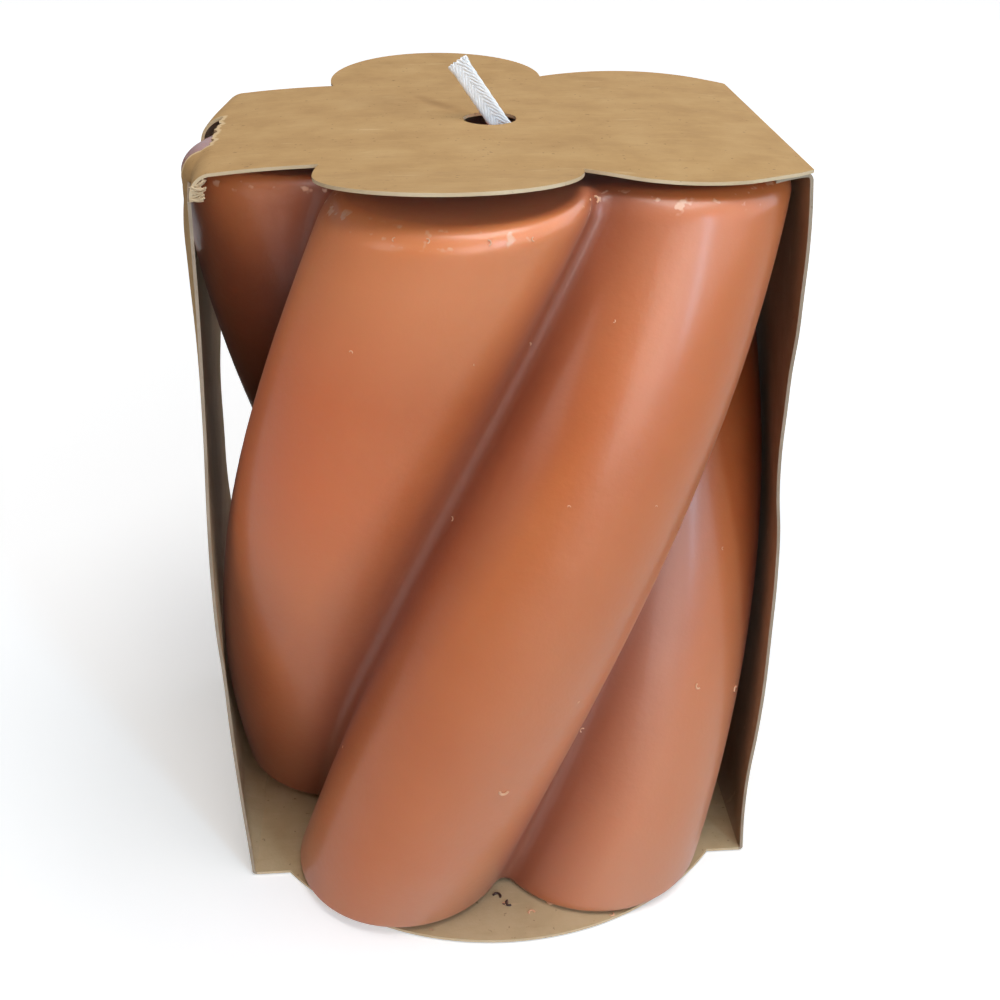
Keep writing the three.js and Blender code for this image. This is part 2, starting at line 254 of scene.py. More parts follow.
world = bpy.data.worlds.new("studio")
world.use_nodes = True
bpy.context.scene.world = world
world_tree = world.node_tree
world_tree.nodes.clear()
room_light = add_node(world_tree, "ShaderNodeBackground")
room_light.inputs["Color"].default_value = colour(236, 238, 242)
room_light.inputs["Strength"].default_value = 0.05
mirrored_light = add_node(world_tree, "ShaderNodeBackground")
mirrored_light.inputs["Color"].default_value = colour(224, 236, 252)
look_x, _, _ = parts_of(world_tree, add_node(world_tree, "ShaderNodeTexCoord").outputs["Generated"])
from_right = look_x.share(-0.6, 0.8) * 2.7 + 0.2
world_tree.links.new(from_right.socket, mirrored_light.inputs["Strength"])
backdrop_light = add_node(world_tree, "ShaderNodeBackground")
backdrop_light.inputs["Color"].default_value = (1, 1, 1, 1)
backdrop_light.inputs["Strength"].default_value = 1.0
world_rays = add_node(world_tree, "ShaderNodeLightPath")
glossy_mix = add_node(world_tree, "ShaderNodeMixShader")
world_mix = add_node(world_tree, "ShaderNodeMixShader")
world_output = add_node(world_tree, "ShaderNodeOutputWorld")
world_tree.links.new(world_rays.outputs["Is Camera Ray"], world_mix.inputs["Fac"])
world_tree.links.new(world_rays.outputs["Is Glossy Ray"], glossy_mix.inputs["Fac"])
world_tree.links.new(room_light.outputs["Background"], glossy_mix.inputs[1])
world_tree.links.new(mirrored_light.outputs["Background"], glossy_mix.inputs[2])
world_tree.links.new(glossy_mix.outputs["Shader"], world_mix.inputs[1])
world_tree.links.new(backdrop_light.outputs["Background"], world_mix.inputs[2])
world_tree.links.new(world_mix.outputs["Shader"], world_output.inputs["Surface"])

FLOOR_HALF = 3.0
FLOOR_BELOW = 0.0002  # the floor lies this far under the base panel
floor_mesh = bpy.data.meshes.new("floor")
floor_corners = [(x * FLOOR_HALF, y * FLOOR_HALF, -FLOOR_BELOW)
                 for x, y in ((-1, -1), (1, -1), (1, 1), (-1, 1))]
floor_mesh.from_pydata(floor_corners, [], [(0, 1, 2, 3)])
floor = bpy.data.objects.new("floor", floor_mesh)
bpy.context.scene.collection.objects.link(floor)
floor_material, floor_tree, floor_shader = new_material("pale_floor")
floor_shader.inputs["Base Color"].default_value = colour(238, 238, 238)
floor_shader.inputs["Roughness"].default_value = 0.9
floor_shader.inputs["Specular IOR Level"].default_value = 0.1
floor_rays = add_node(floor_tree, "ShaderNodeLightPath")
floor_place = add_node(floor_tree, "ShaderNodeTexCoord").outputs["Object"]
floor_x, floor_y, _ = parts_of(floor_tree, floor_place)
from_candle = (floor_x * floor_x + floor_y * floor_y).root()
floor_lift = (from_candle.share(0.06, 0.40) * 0.45 + 0.40) * Formula(
    floor_tree, floor_rays.outputs["Is Camera Ray"])
floor_shader.inputs["Emission Color"].default_value = (1, 1, 1, 1)
floor_tree.links.new(floor_lift.socket, floor_shader.inputs["Emission Strength"])
floor_mesh.materials.append(floor_material)

bpy.context.scene.view_settings.view_transform = "Standard"

# %% [markdown]
# ## Growing pieces with Geometry Nodes
#
# The wax, the wick and the small slivers are each grown by a tree with named inputs. The tree is
# run once, and its result is kept as a plain mesh. Every tree ends in the same way, so one helper
# writes that end.


# %% Helpers for Geometry Nodes
def geometry_tree(name, inputs):
    """A Geometry Nodes tree with named number inputs, its input node and its output node."""
    tree = bpy.data.node_groups.new(name, "GeometryNodeTree")
    tree.interface.new_socket("Geometry", in_out="INPUT", socket_type="NodeSocketGeometry")
    for label in inputs:
        tree.interface.new_socket(label, in_out="INPUT", socket_type="NodeSocketFloat")
    tree.interface.new_socket("Finish", in_out="INPUT", socket_type="NodeSocketMaterial")
    tree.interface.new_socket("Geometry", in_out="OUTPUT", socket_type="NodeSocketGeometry")
    source = tree.nodes.new("NodeGroupInput")
    sink = tree.nodes.new("NodeGroupOutput")
    return tree, source, sink


def grown_mesh(name, tree, values, finish, seed_mesh=None):
    """Runs a Geometry Nodes tree with these values and returns its result as a plain object."""
    holder = bpy.data.objects.new(name + "_holder", seed_mesh or bpy.data.meshes.new(name))
    bpy.context.scene.collection.objects.link(holder)
    modifier = holder.modifiers.new("grow", "NODES")
    modifier.node_group = tree
    for item in tree.interface.items_tree:
        if item.in_out == "INPUT" and item.name in values:
            modifier[item.identifier] = float(values[item.name])
        if item.in_out == "INPUT" and item.name == "Finish":
            modifier[item.identifier] = finish
    bpy.context.view_layer.update()
    shown = holder.evaluated_get(bpy.context.evaluated_depsgraph_get())
    mesh = bpy.data.meshes.new_from_object(shown)
    mesh.name = name
    bpy.data.objects.remove(holder)
    grown = bpy.data.objects.new(name, mesh)
    bpy.context.scene.collection.objects.link(grown)
    print(name, "has", sum(len(face.vertices) - 2 for face in mesh.polygons), "triangles")
    return grown


def store(tree, geometry, name, value):
    """Keeps a number on every point of a geometry under a name that materials can read."""
    node = add_node(tree, "GeometryNodeStoreNamedAttribute", data_type="FLOAT", domain="POINT")
    node.inputs["Name"].default_value = name
    tree.links.new(geometry, node.inputs["Geometry"])
    tree.links.new(value.socket, node.inputs["Value"])
    return node.outputs["Geometry"]


def move_points(tree, geometry, position):
    """Moves every point of a geometry to the given position."""
    node = add_node(tree, "GeometryNodeSetPosition")
    tree.links.new(geometry, node.inputs["Geometry"])
    tree.links.new(position, node.inputs["Position"])
    return node.outputs["Geometry"]


def swept_mesh(tree, curve, radius, corners):
    """Sweeps a small circle of that radius and number of corners along a curve."""
    ring = add_node(tree, "GeometryNodeCurvePrimitiveCircle")
    ring.inputs["Resolution"].default_value = corners
    tree.links.new(radius.socket, ring.inputs["Radius"])
    node = add_node(tree, "GeometryNodeCurveToMesh")
    node.inputs["Fill Caps"].default_value = True
    tree.links.new(curve, node.inputs["Curve"])
    tree.links.new(ring.outputs["Curve"], node.inputs["Profile Curve"])
    return node.outputs["Mesh"]


def smooth_faces(tree, geometry):
    """Shades a geometry smooth."""
    node = add_node(tree, "GeometryNodeSetShadeSmooth")
    tree.links.new(geometry, node.inputs["Geometry"])
    return node.outputs["Geometry"]


def end_tree(tree, geometry, source, sink):
    """Ends a tree: copies are made real, the finish is set, and the result goes out."""
    real = add_node(tree, "GeometryNodeRealizeInstances")
    paint = add_node(tree, "GeometryNodeSetMaterial")
    tree.links.new(geometry, real.inputs["Geometry"])
    tree.links.new(real.outputs["Geometry"], paint.inputs["Geometry"])
    tree.links.new(source.outputs["Finish"], paint.inputs["Material"])
    tree.links.new(paint.outputs["Geometry"], sink.inputs["Geometry"])


# %% [markdown]
# ## Shared effects
#
# Two effects are used by more than one material, so each is a node group. Mottle mixes a base
# colour with a lighter and a darker neighbour in soft patches. Grain gives the height of a fine
# uneven surface for a Bump node.


# %% Mottle and grain node groups
def shader_group(name, inputs, outputs):
    """A shader node group with named sockets, given as (name, kind, value)."""
    tree = bpy.data.node_groups.new(name, "ShaderNodeTree")
    for label, kind, value in inputs:
        made = tree.interface.new_socket(label, in_out="INPUT", socket_type=kind)
        if value is not None:
            made.default_value = value
    for label, kind in outputs:
        tree.interface.new_socket(label, in_out="OUTPUT", socket_type=kind)
    return tree, tree.nodes.new("NodeGroupInput"), tree.nodes.new("NodeGroupOutput")


def noise(tree, vector, scale, detail=2.0, roughness=0.5):
    """A noise pattern on the given coordinates. Scale is in waves per metre."""
    node = add_node(tree, "ShaderNodeTexNoise")
    node.inputs["Detail"].default_value = detail
    node.inputs["Roughness"].default_value = roughness
    tree.links.new(vector, node.inputs["Vector"])
    if isinstance(scale, bpy.types.NodeSocket):
        tree.links.new(scale, node.inputs["Scale"])
    else:
        node.inputs["Scale"].default_value = scale
    return node.outputs["Fac"]


def mix_colours(tree, share, first, second, blend="MIX"):
    """A mix of two colours, each a socket or a plain colour."""
    node = add_node(tree, "ShaderNodeMix", data_type="RGBA", blend_type=blend)
    for value, name in ((share, 0), (first, 6), (second, 7)):
        if isinstance(value, Formula):
            value = value.socket
        if isinstance(value, bpy.types.NodeSocket):
            tree.links.new(value, node.inputs[name])
        else:
            node.inputs[name].default_value = value
    return node.outputs[2]


mottle_group, mottle_in, mottle_out = shader_group(
    "mottle",
    [("Vector", "NodeSocketVector", None), ("Base", "NodeSocketColor", (0.5, 0.5, 0.5, 1)),
     ("Light", "NodeSocketColor", (0.7, 0.7, 0.7, 1)),
     ("Dark", "NodeSocketColor", (0.3, 0.3, 0.3, 1)),
     ("Scale", "NodeSocketFloat", 60.0), ("Amount", "NodeSocketFloat", 0.4)],
    [("Color", "NodeSocketColor")])
patches = Formula(mottle_group, noise(mottle_group, mottle_in.outputs["Vector"],
                                      mottle_in.outputs["Scale"], 4.0, 0.6))
amount = Formula(mottle_group, mottle_in.outputs["Amount"])
lighter = mix_colours(mottle_group, patches.share(0.5, 0.72) * amount,
                      mottle_in.outputs["Base"], mottle_in.outputs["Light"])
mottled = mix_colours(mottle_group, (patches * -1.0 + 1.0).share(0.5, 0.72) * amount,
                      lighter, mottle_in.outputs["Dark"])
mottle_group.links.new(mottled, mottle_out.inputs["Color"])

grain_group, grain_in, grain_out = shader_group(
    "grain",
    [("Vector", "NodeSocketVector", None), ("Fine", "NodeSocketFloat", 2400.0),
     ("Coarse", "NodeSocketFloat", 260.0), ("Coarse Share", "NodeSocketFloat", 0.5)],
    [("Height", "NodeSocketFloat")])
fine_grain = Formula(grain_group, noise(grain_group, grain_in.outputs["Vector"],
                                        grain_in.outputs["Fine"], 3.0, 0.6))
coarse_grain = Formula(grain_group, noise(grain_group, grain_in.outputs["Vector"],
                                          grain_in.outputs["Coarse"], 2.0, 0.5))
coarse_share = Formula(grain_group, grain_in.outputs["Coarse Share"])
grain_height = fine_grain * (coarse_share * -1.0 + 1.0) + coarse_grain * coarse_share
grain_group.links.new(grain_height.socket, grain_out.inputs["Height"])


def place_group(tree, group, vector, **values):
    """The group as a node in a material, with its coordinates linked and its values set."""
    node = add_node(tree, "ShaderNodeGroup", node_tree=group)
    tree.links.new(vector, node.inputs["Vector"])
    for name, value in values.items():
        node.inputs[name.replace("_", " ")].default_value = value
    return node


def bump(tree, shader, height, strength, distance):
    """A Bump node from a height to the shader's normal."""
    node = add_node(tree, "ShaderNodeBump")
    node.inputs["Strength"].default_value = strength
    node.inputs["Distance"].default_value = distance
    tree.links.new(height, node.inputs["Height"])
    tree.links.new(node.outputs["Normal"], shader.inputs["Normal"])


def attribute(tree, name):
    """A number that the mesh keeps under that name, as a formula."""
    node = add_node(tree, "ShaderNodeAttribute", attribute_name=name)
    return Formula(tree, node.outputs["Fac"])


print("node groups:", [group.name for group in (mottle_group, grain_group)])

# %% [markdown]
# ## Wax finish
#
# The wax is a rust orange with a satin skin. Light goes a little way into it, so its edges glow
# and its shadows stay warm: that is subsurface scattering. A faint sheen makes it paler where it
# is seen from the side. A pale pinkish colour is painted on as well: a painted sheen low on the
# side that faces the window, painted light from the floor at the foot, and soft pale patches at
# random. Down in the grooves painted shade makes the wax darker and a little purple. On the top
# edge of each strand the skin is chipped. The groove's depth and the top edge come from
# attributes that the candle's own tree stores. Three zones are tinted with painted light and
# shade: painted light makes the left front strand a warmer orange near its top and the rims at
# the front paler, and painted shade makes the strand that turns away behind the left wall, and
# the wax low on the left, a dull brown.

# %% Zones of the wax
# A zone has a colour and soft boxes. A box has a strength and its edges: the axis, where the zone
# starts to show and where it is full, in metres.
X, Y, Z = 0, 1, 2
# Every zone lays painted light or painted shade over the wax's colour
WAX_ZONES = {
    "painted light on the top of the left front strand": (colour(230, 110, 44), [
        (0.7, [(Z, 0.046, 0.066), (Z, 0.096, 0.086), (X, -0.004, -0.022),
               (Y, -0.008, -0.020)])]),
    "painted shade behind the left wall and low on the left": (colour(118, 62, 44), [
        (0.7, [(X, -0.014, -0.024), (Y, -0.022, -0.012), (Z, 0.040, 0.056)]),
        (0.45, [(X, -0.024, -0.034), (Z, 0.056, 0.044)])]),
    "painted light on the rims at the front": (colour(240, 144, 88), [
        (0.8, [(Z, 0.078, 0.092), (X, 0.022, 0.0), (Y, -0.010, -0.022)])]),
}


def soft_box(place, strength, edges):
    """A share that fades in over every edge of a box, up to its strength."""
    axis, start, end = edges[0]
    box = place[axis].share(start, end)
    for axis, start, end in edges[1:]:
        box = box * place[axis].share(start, end)
    return box * strength


print("wax zones:", list(WAX_ZONES))

# %% Wax material
wax_finish, wax_tree, wax_shader = new_material("rust_wax")
wax_place = add_node(wax_tree, "ShaderNodeTexCoord").outputs["Object"]
wax_x, wax_y, wax_z = parts_of(wax_tree, wax_place)
wax_mottle = place_group(wax_tree, mottle_group, wax_place,
                         Base=colour(210, 112, 54), Light=colour(216, 122, 66),
                         Dark=colour(198, 100, 46), Scale=34.0, Amount=0.55)
groove = attribute(wax_tree, "groove")
bloom_patches = Formula(wax_tree, noise(wax_tree, wax_place, 26.0, 3.0))
wax_side, _, _ = parts_of(wax_tree, add_node(wax_tree, "ShaderNodeNewGeometry").outputs["Normal"])
# Painted sheen on the window's side, painted floor light at the foot, random pale patches
painted_light_and_bloom = (wax_z.share(0.075, 0.0) * 0.45 * wax_side.share(-0.55, 0.1)
         + bloom_patches.share(0.45, 0.75) * 0.15 + wax_z.share(0.014, 0.0) * 0.35)
with_light_and_bloom = mix_colours(wax_tree, painted_light_and_bloom, wax_mottle.outputs["Color"], colour(204, 143, 112))
zoned = with_light_and_bloom
# The zones' painted light and shade go over the colour
for zone_colour, boxes in WAX_ZONES.values():
    zone = soft_box((wax_x, wax_y, wax_z), *boxes[0])
    for box in boxes[1:]:
        zone = zone + soft_box((wax_x, wax_y, wax_z), *box)
    zoned = mix_colours(wax_tree, zone, zoned, zone_colour)
# Painted shade: the grooves are darkened and tinted purple
in_groove = groove.share(0.30, 1.0)
groove_shaded = mix_colours(wax_tree, in_groove * 0.8, zoned, colour(128, 60, 42))
chip_noise = Formula(wax_tree, noise(wax_tree, wax_place, 600.0, 2.0))
chips = chip_noise.share(0.62, 0.68) * attribute(wax_tree, "edge")
wax_colour = mix_colours(wax_tree, chips * 0.8, groove_shaded, colour(238, 184, 150))
wax_tree.links.new(wax_colour, wax_shader.inputs["Base Color"])
wax_rough = bloom_patches.share(0.3, 0.8) * 0.10 + in_groove * 0.15 + 0.38
wax_tree.links.new(wax_rough.socket, wax_shader.inputs["Roughness"])
wax_shader.inputs["IOR"].default_value = 1.44
wax_shader.inputs["Specular IOR Level"].default_value = 0.6
wax_shader.inputs["Coat Weight"].default_value = 0.45
wax_shader.inputs["Coat Roughness"].default_value = 0.22
wax_shader.inputs["Subsurface Weight"].default_value = 0.30
wax_shader.inputs["Subsurface Radius"].default_value = (1.0, 0.35, 0.18)
wax_shader.inputs["Subsurface Scale"].default_value = 0.003
wax_shader.inputs["Sheen Weight"].default_value = 0.06
wax_shader.inputs["Sheen Roughness"].default_value = 0.45
wax_shader.inputs["Sheen Tint"].default_value = (0.85, 0.74, 0.80, 1)
wax_grain = place_group(wax_tree, grain_group, wax_place,
                        Fine=900.0, Coarse=70.0, Coarse_Share=0.7)
bump(wax_tree, wax_shader, wax_grain.outputs["Height"], 0.25, 0.0006)

# %% [markdown]
# ## The wax body
#
# The candle is one moulded body. In plan it is five circles on a ring, with a small round valley
# between neighbours, and the outline turns to the right as it rises. Such a rule suits Geometry
# Nodes: a flat grid is bent into the body by one formula. Along one side of the grid the angle
# runs round the candle, and along the other side the grid goes from the middle of the foot, up
# the side and in to the middle of the top.

# %% Sizes of the candle in millimetres
CANDLE = {
    "Strands": 5, "Strand Radius": 14.8, "Strand Offset": 23.3, "Valley Radius": 1.7,
    "Foot": 0.6, "Height": 98.4, "Twist": 95.4, "Twist Bow": -2.0, "Top Strand": -29.1,
    "Top Round": 2.9, "Foot Round": 1.3, "Middle X": -0.42, "Middle Y": -1.93, "Lean X": 0.6,
    "Top Dip": 0.9, "Unevenness": 0.09,
}


def wax_outline(angle):
    """Distance from the axis to the wax, at angles in radians from the middle of a strand."""
    half = math.pi / CANDLE["Strands"]
    strand, offset = CANDLE["Strand Radius"], CANDLE["Strand Offset"]
    valley = CANDLE["Valley Radius"]
    reach = strand + valley
    middle = offset * math.cos(half) + math.sqrt(reach ** 2 - (offset * math.sin(half)) ** 2)
    touch_x = offset + (middle * math.cos(half) - offset) * strand / reach
    touch_y = middle * math.sin(half) * strand / reach
    off_strand = np.abs(angle - 2 * half * np.round(angle / (2 * half)))
    on_strand = offset * np.cos(off_strand) + np.sqrt(
        np.maximum(0, strand ** 2 - (offset * np.sin(off_strand)) ** 2))
    off_valley = half - off_strand
    in_valley = middle * np.cos(off_valley) - np.sqrt(
        np.maximum(0, valley ** 2 - (middle * np.sin(off_valley)) ** 2))
    return np.where(off_strand <= math.atan2(touch_y, touch_x), on_strand, in_valley)


def wax_axis(rise):
    """The candle's axis in plan and its turn, at a share of its height."""
    turn = np.radians(CANDLE["Top Strand"] - CANDLE["Twist"] * (1 - rise)
                      + CANDLE["Twist Bow"] * 4 * rise * (1 - rise))
    return CANDLE["Middle X"] + CANDLE["Lean X"] * (rise - 0.5), CANDLE["Middle Y"], turn


def wax_gap(points):
    """How far points in millimetres lie outside the wax. Less than 0 is inside it."""
    rise = np.clip((points[:, 2] - CANDLE["Foot"]) / CANDLE["Height"], 0, 1)
    middle_x, middle_y, turn = wax_axis(rise)
    across, along = points[:, 0] - middle_x, points[:, 1] - middle_y
    outline = wax_outline(np.arctan2(along, across) - turn)
    beside = np.hypot(across, along) - outline
    gap = beside
    above_top = points[:, 2] - CANDLE["Foot"] - CANDLE["Height"]
    below_foot = CANDLE["Foot"] - points[:, 2]
    for edge, beyond in ((CANDLE["Top Round"], above_top), (CANDLE["Foot Round"], below_foot)):
        outer, past = beside + edge, beyond + edge
        corner = np.hypot(np.maximum(outer, 0), np.maximum(past, 0)) - edge
        gap = np.maximum(gap, corner + np.minimum(np.maximum(outer, past), 0))
    return gap


print("candle is", round(2 * (CANDLE["Strand Offset"] + CANDLE["Strand Radius"]), 1), "mm wide")

# %% Geometry Nodes tree of the candle
# Counts of the flat grid, and the shares of it that become the foot's and the top's disc and round
GRID_AROUND = 241
GRID_ALONG = 200
FOOT_DISC_END, FOOT_ROUND_END = 0.03, 0.07
TOP_ROUND_START, TOP_DISC_START = 0.86, 0.92

wax_grow, wax_in, wax_out = geometry_tree("twisted_candle", list(CANDLE))
given = {name: Formula(wax_grow, wax_in.outputs[name]) for name in CANDLE}
sheet_node = add_node(wax_grow, "GeometryNodeMeshGrid")
for name, value in (("Size X", 1.0), ("Size Y", 1.0), ("Vertices X", GRID_AROUND),
                    ("Vertices Y", GRID_ALONG)):
    sheet_node.inputs[name].default_value = value
grid_place = add_node(wax_grow, "GeometryNodeInputPosition").outputs[0]
grid_x, grid_y, _ = parts_of(wax_grow, grid_place)
around = (grid_x + 0.5) * (2 * math.pi)
along_side = grid_y + 0.5

foot_disc = along_side.share(0.0, FOOT_DISC_END)
foot_turn = along_side.share(FOOT_DISC_END, FOOT_ROUND_END) * (math.pi / 2)
climb = along_side.share(FOOT_ROUND_END, TOP_ROUND_START)
top_turn = along_side.share(TOP_ROUND_START, TOP_DISC_START) * (math.pi / 2)
top_disc = along_side.share(TOP_DISC_START, 1.0)

straight = given["Height"] - given["Foot Round"] - given["Top Round"]
height_up = (given["Foot Round"] * (foot_turn.cos() * -1.0 + 1.0) + straight * climb
             + given["Top Round"] * top_turn.sin())
drawn_in = (given["Foot Round"] * (foot_turn.sin() * -1.0 + 1.0)
            + given["Top Round"] * (top_turn.cos() * -1.0 + 1.0))
rise = height_up / given["Height"]

half_pitch = (given["Strands"] * 0.0 + math.pi) / given["Strands"]
pitch = half_pitch * 2.0
reach = given["Strand Radius"] + given["Valley Radius"]
offset = given["Strand Offset"]
valley_sine = offset * half_pitch.sin()
valley_middle = offset * half_pitch.cos() + (reach * reach - valley_sine * valley_sine).root()
touch = given["Strand Radius"] / reach
touch_angle = (valley_middle * half_pitch.sin() * touch).turn_to(
    offset + (valley_middle * half_pitch.cos() - offset) * touch)
off_strand = (around - pitch * (around / pitch).step("ROUND")).size()
strand_sine = offset * off_strand.sin()
strand_radius = given["Strand Radius"]
on_strand = offset * off_strand.cos() + (
    strand_radius * strand_radius - strand_sine * strand_sine).step("MAXIMUM", 0.0).root()
off_valley = half_pitch - off_strand
valley_part = valley_middle * off_valley.sin()
valley_radius = given["Valley Radius"]
in_valley = valley_middle * off_valley.cos() - (
    valley_radius * valley_radius - valley_part * valley_part).step("MAXIMUM", 0.0).root()
is_strand = off_strand.less_than(touch_angle)
outline = on_strand * is_strand + in_valley * (is_strand * -1.0 + 1.0)

radius = (outline - drawn_in) * foot_disc * (top_disc * -1.0 + 1.0)
turn = (given["Top Strand"] - given["Twist"] * (rise * -1.0 + 1.0)
        + given["Twist Bow"] * 4.0 * rise * (rise * -1.0 + 1.0)) * (math.pi / 180)
dip = given["Top Dip"] * (top_disc * (math.pi / 2)).sin() * top_disc
bent_x = given["Middle X"] + given["Lean X"] * (rise - 0.5) + radius * (around + turn).cos()
bent_y = given["Middle Y"] + radius * (around + turn).sin()
bent_z = given["Foot"] + height_up - dip
bent_place = vector_from(wax_grow, bent_x * MM, bent_y * MM, bent_z * MM)

crest = offset + strand_radius
groove_depth = (crest - outline).step("MAXIMUM", 0.0) / (crest - valley_middle + valley_radius)
side_only = climb.share(-0.001, 0.0) * (top_disc * -1.0 + 1.0) * foot_disc
with_groove = store(wax_grow, sheet_node.outputs["Mesh"], "groove",
                    groove_depth * side_only)
near_top = along_side.share(TOP_ROUND_START + 0.010, TOP_ROUND_START + 0.018) * along_side.share(
    TOP_DISC_START - 0.012, TOP_DISC_START - 0.022)
with_edge = store(wax_grow, with_groove, "edge", near_top)
closed = add_node(wax_grow, "GeometryNodeMergeByDistance")
closed.inputs["Distance"].default_value = 0.00001
wax_grow.links.new(move_points(wax_grow, with_edge, bent_place), closed.inputs["Geometry"])

# Moulded wax is never quite even: a slow noise moves the surface by a tenth of a millimetre
uneven_noise = add_node(wax_grow, "ShaderNodeTexNoise")
uneven_noise.inputs["Scale"].default_value = 45.0
uneven_noise.inputs["Detail"].default_value = 2.0
uneven = Formula(wax_grow, uneven_noise.outputs["Fac"]) - 0.5
uneven = uneven * given["Unevenness"] * (2 * MM)
normal_x, normal_y, _ = parts_of(
    wax_grow, add_node(wax_grow, "GeometryNodeInputNormal").outputs[0])
uneven_node = add_node(wax_grow, "GeometryNodeSetPosition")
wax_grow.links.new(closed.outputs["Geometry"], uneven_node.inputs["Geometry"])
wax_grow.links.new(vector_from(wax_grow, normal_x * uneven, normal_y * uneven, uneven * 0.0),
                   uneven_node.inputs["Offset"])

end_tree(wax_grow, smooth_faces(wax_grow, uneven_node.outputs["Geometry"]), wax_in, wax_out)

candle_wax = grown_mesh("candle_wax", wax_grow, CANDLE, wax_finish)
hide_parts("wax_body")
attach(candle_wax, "base")

# %% [markdown]
# The grid could have been bent inside out, so the faces are tested, and turned if need be.

# %% Check that the candle's faces look out
wax_coords = np.array([v.co for v in candle_wax.data.vertices]) / MM
face_middles = np.array([f.center for f in candle_wax.data.polygons]) / MM
face_normals = np.array([f.normal for f in candle_wax.data.polygons])
facing_out = (face_normals[:, :2] * face_middles[:, :2]).sum(1).mean() > 0
print("faces look out:", facing_out, "box:", wax_coords.min(0).round(1),
      wax_coords.max(0).round(1))
if not facing_out:
    candle_wax.data.flip_normals()

# %% [markdown]
# ## Wick
#
# The wick is taken to be a flat plait of cotton yarn, pressed nearly smooth. A path runs up from inside the
# wax and leans to the left. Geometry Nodes copy the path once for each yarn, move each copy
# along the weave of a flat plait, and sweep a small circle along it. Near the cut end the
# yarns spread.

# %% Wick material
wick_finish, wick_tree, wick_shader = new_material("white_cotton")
wick_place = add_node(wick_tree, "ShaderNodeTexCoord").outputs["Object"]
wick_mottle = place_group(wick_tree, mottle_group, wick_place,
                          Base=colour(252, 252, 253), Light=colour(254, 254, 254),
                          Dark=colour(240, 244, 250), Scale=900.0, Amount=0.6)
wick_tree.links.new(wick_mottle.outputs["Color"], wick_shader.inputs["Base Color"])
wick_shader.inputs["Roughness"].default_value = 0.5
wick_shader.inputs["Specular IOR Level"].default_value = 1.0
wick_shader.inputs["Sheen Weight"].default_value = 0.6
wick_grain = place_group(wick_tree, grain_group, wick_place,
                         Fine=9000.0, Coarse=2500.0, Coarse_Share=0.4)
bump(wick_tree, wick_shader, wick_grain.outputs["Height"], 0.3, 0.00008)

# %% Geometry Nodes tree of the plaited wick
WICK = {"Bend X": 1.8, "Bend Y": -0.6, "Bend Z": 99.2, "Buried": 5.0, "Length": 10.7,
        "Lean": 34.0, "Half Width": 0.98, "Half Depth": 0.07, "Plait": 9.0, "Yarn Ring": 0.05,
        "Ring Depth": 0.04, "Yarn Radius": 0.24, "Yarn Twist": 3.0, "Splay": 0.16}
PLAIT_PARTS = 13
YARNS_IN_PART = 2
PATH_POINTS = 150
YARN_CORNERS = 8

wick_grow, wick_in, wick_out = geometry_tree("plaited_wick", list(WICK))
wick = {name: Formula(wick_grow, wick_in.outputs[name]) for name in WICK}
lean_angle = wick["Lean"] * (math.pi / 180)
under = add_node(wick_grow, "GeometryNodeCurvePrimitiveLine")
wick_grow.links.new(vector_from(wick_grow, wick["Bend X"] * MM, wick["Bend Y"] * MM,
                                (wick["Bend Z"] - wick["Buried"]) * MM), under.inputs["Start"])
wick_grow.links.new(vector_from(wick_grow, wick["Bend X"] * MM, wick["Bend Y"] * MM,
                                (wick["Bend Z"] + wick["Length"]) * MM), under.inputs["End"])
resampled = add_node(wick_grow, "GeometryNodeResampleCurve", mode="COUNT")
resampled.inputs["Count"].default_value = PATH_POINTS
wick_grow.links.new(under.outputs["Curve"], resampled.inputs["Curve"])
copies = add_node(wick_grow, "GeometryNodeDuplicateElements", domain="SPLINE")
copies.inputs["Amount"].default_value = PLAIT_PARTS * YARNS_IN_PART
wick_grow.links.new(resampled.outputs["Curve"], copies.inputs["Geometry"])
copy_number = Formula(wick_grow, copies.outputs["Duplicate Index"])

up_path = add_node(wick_grow, "GeometryNodeSplineParameter").outputs["Length"]
up_mm = Formula(wick_grow, up_path) * (1 / MM)
part_number = (copy_number / YARNS_IN_PART).step("FLOOR")
yarn_number = copy_number - part_number * YARNS_IN_PART
weave = (up_mm / wick["Plait"] + part_number / PLAIT_PARTS) * (2 * math.pi)
ring_turn = (up_mm / wick["Yarn Twist"] + yarn_number / YARNS_IN_PART) * (2 * math.pi)
whole = wick["Buried"] + wick["Length"]
splay = (up_mm / whole).share(0.93, 1.0) * wick["Splay"] + 1.0
across_wick = (wick["Half Width"] * weave.sin() + wick["Yarn Ring"] * ring_turn.cos()) * splay
depth_wick = (wick["Half Depth"] * (weave * 2.0).sin()
              + wick["Ring Depth"] * ring_turn.sin()) * splay

# Above the bend the straight path is turned over to the left, softly over the first millimetre
above_bend = up_mm - wick["Buried"]
bend_share = above_bend.share(-0.6, 1.0)
angle_here = lean_angle * bend_share
lean_length = above_bend.step("MAXIMUM", 0.0)
path_x = wick["Bend X"] - lean_length * angle_here.sin() + across_wick * angle_here.cos()
path_z = (wick["Bend Z"] + above_bend.step("MINIMUM", 0.0) + lean_length * angle_here.cos()
          + across_wick * angle_here.sin())
path_y = wick["Bend Y"] + depth_wick
woven = move_points(wick_grow, copies.outputs["Geometry"],
                    vector_from(wick_grow, path_x * MM, path_y * MM, path_z * MM))
yarns = swept_mesh(wick_grow, woven, wick["Yarn Radius"] * MM, YARN_CORNERS)
end_tree(wick_grow, smooth_faces(wick_grow, yarns), wick_in, wick_out)

plaited_wick = grown_mesh("plaited_wick", wick_grow, WICK, wick_finish)
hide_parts("wick_core", "wick_tip")
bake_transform(plaited_wick)
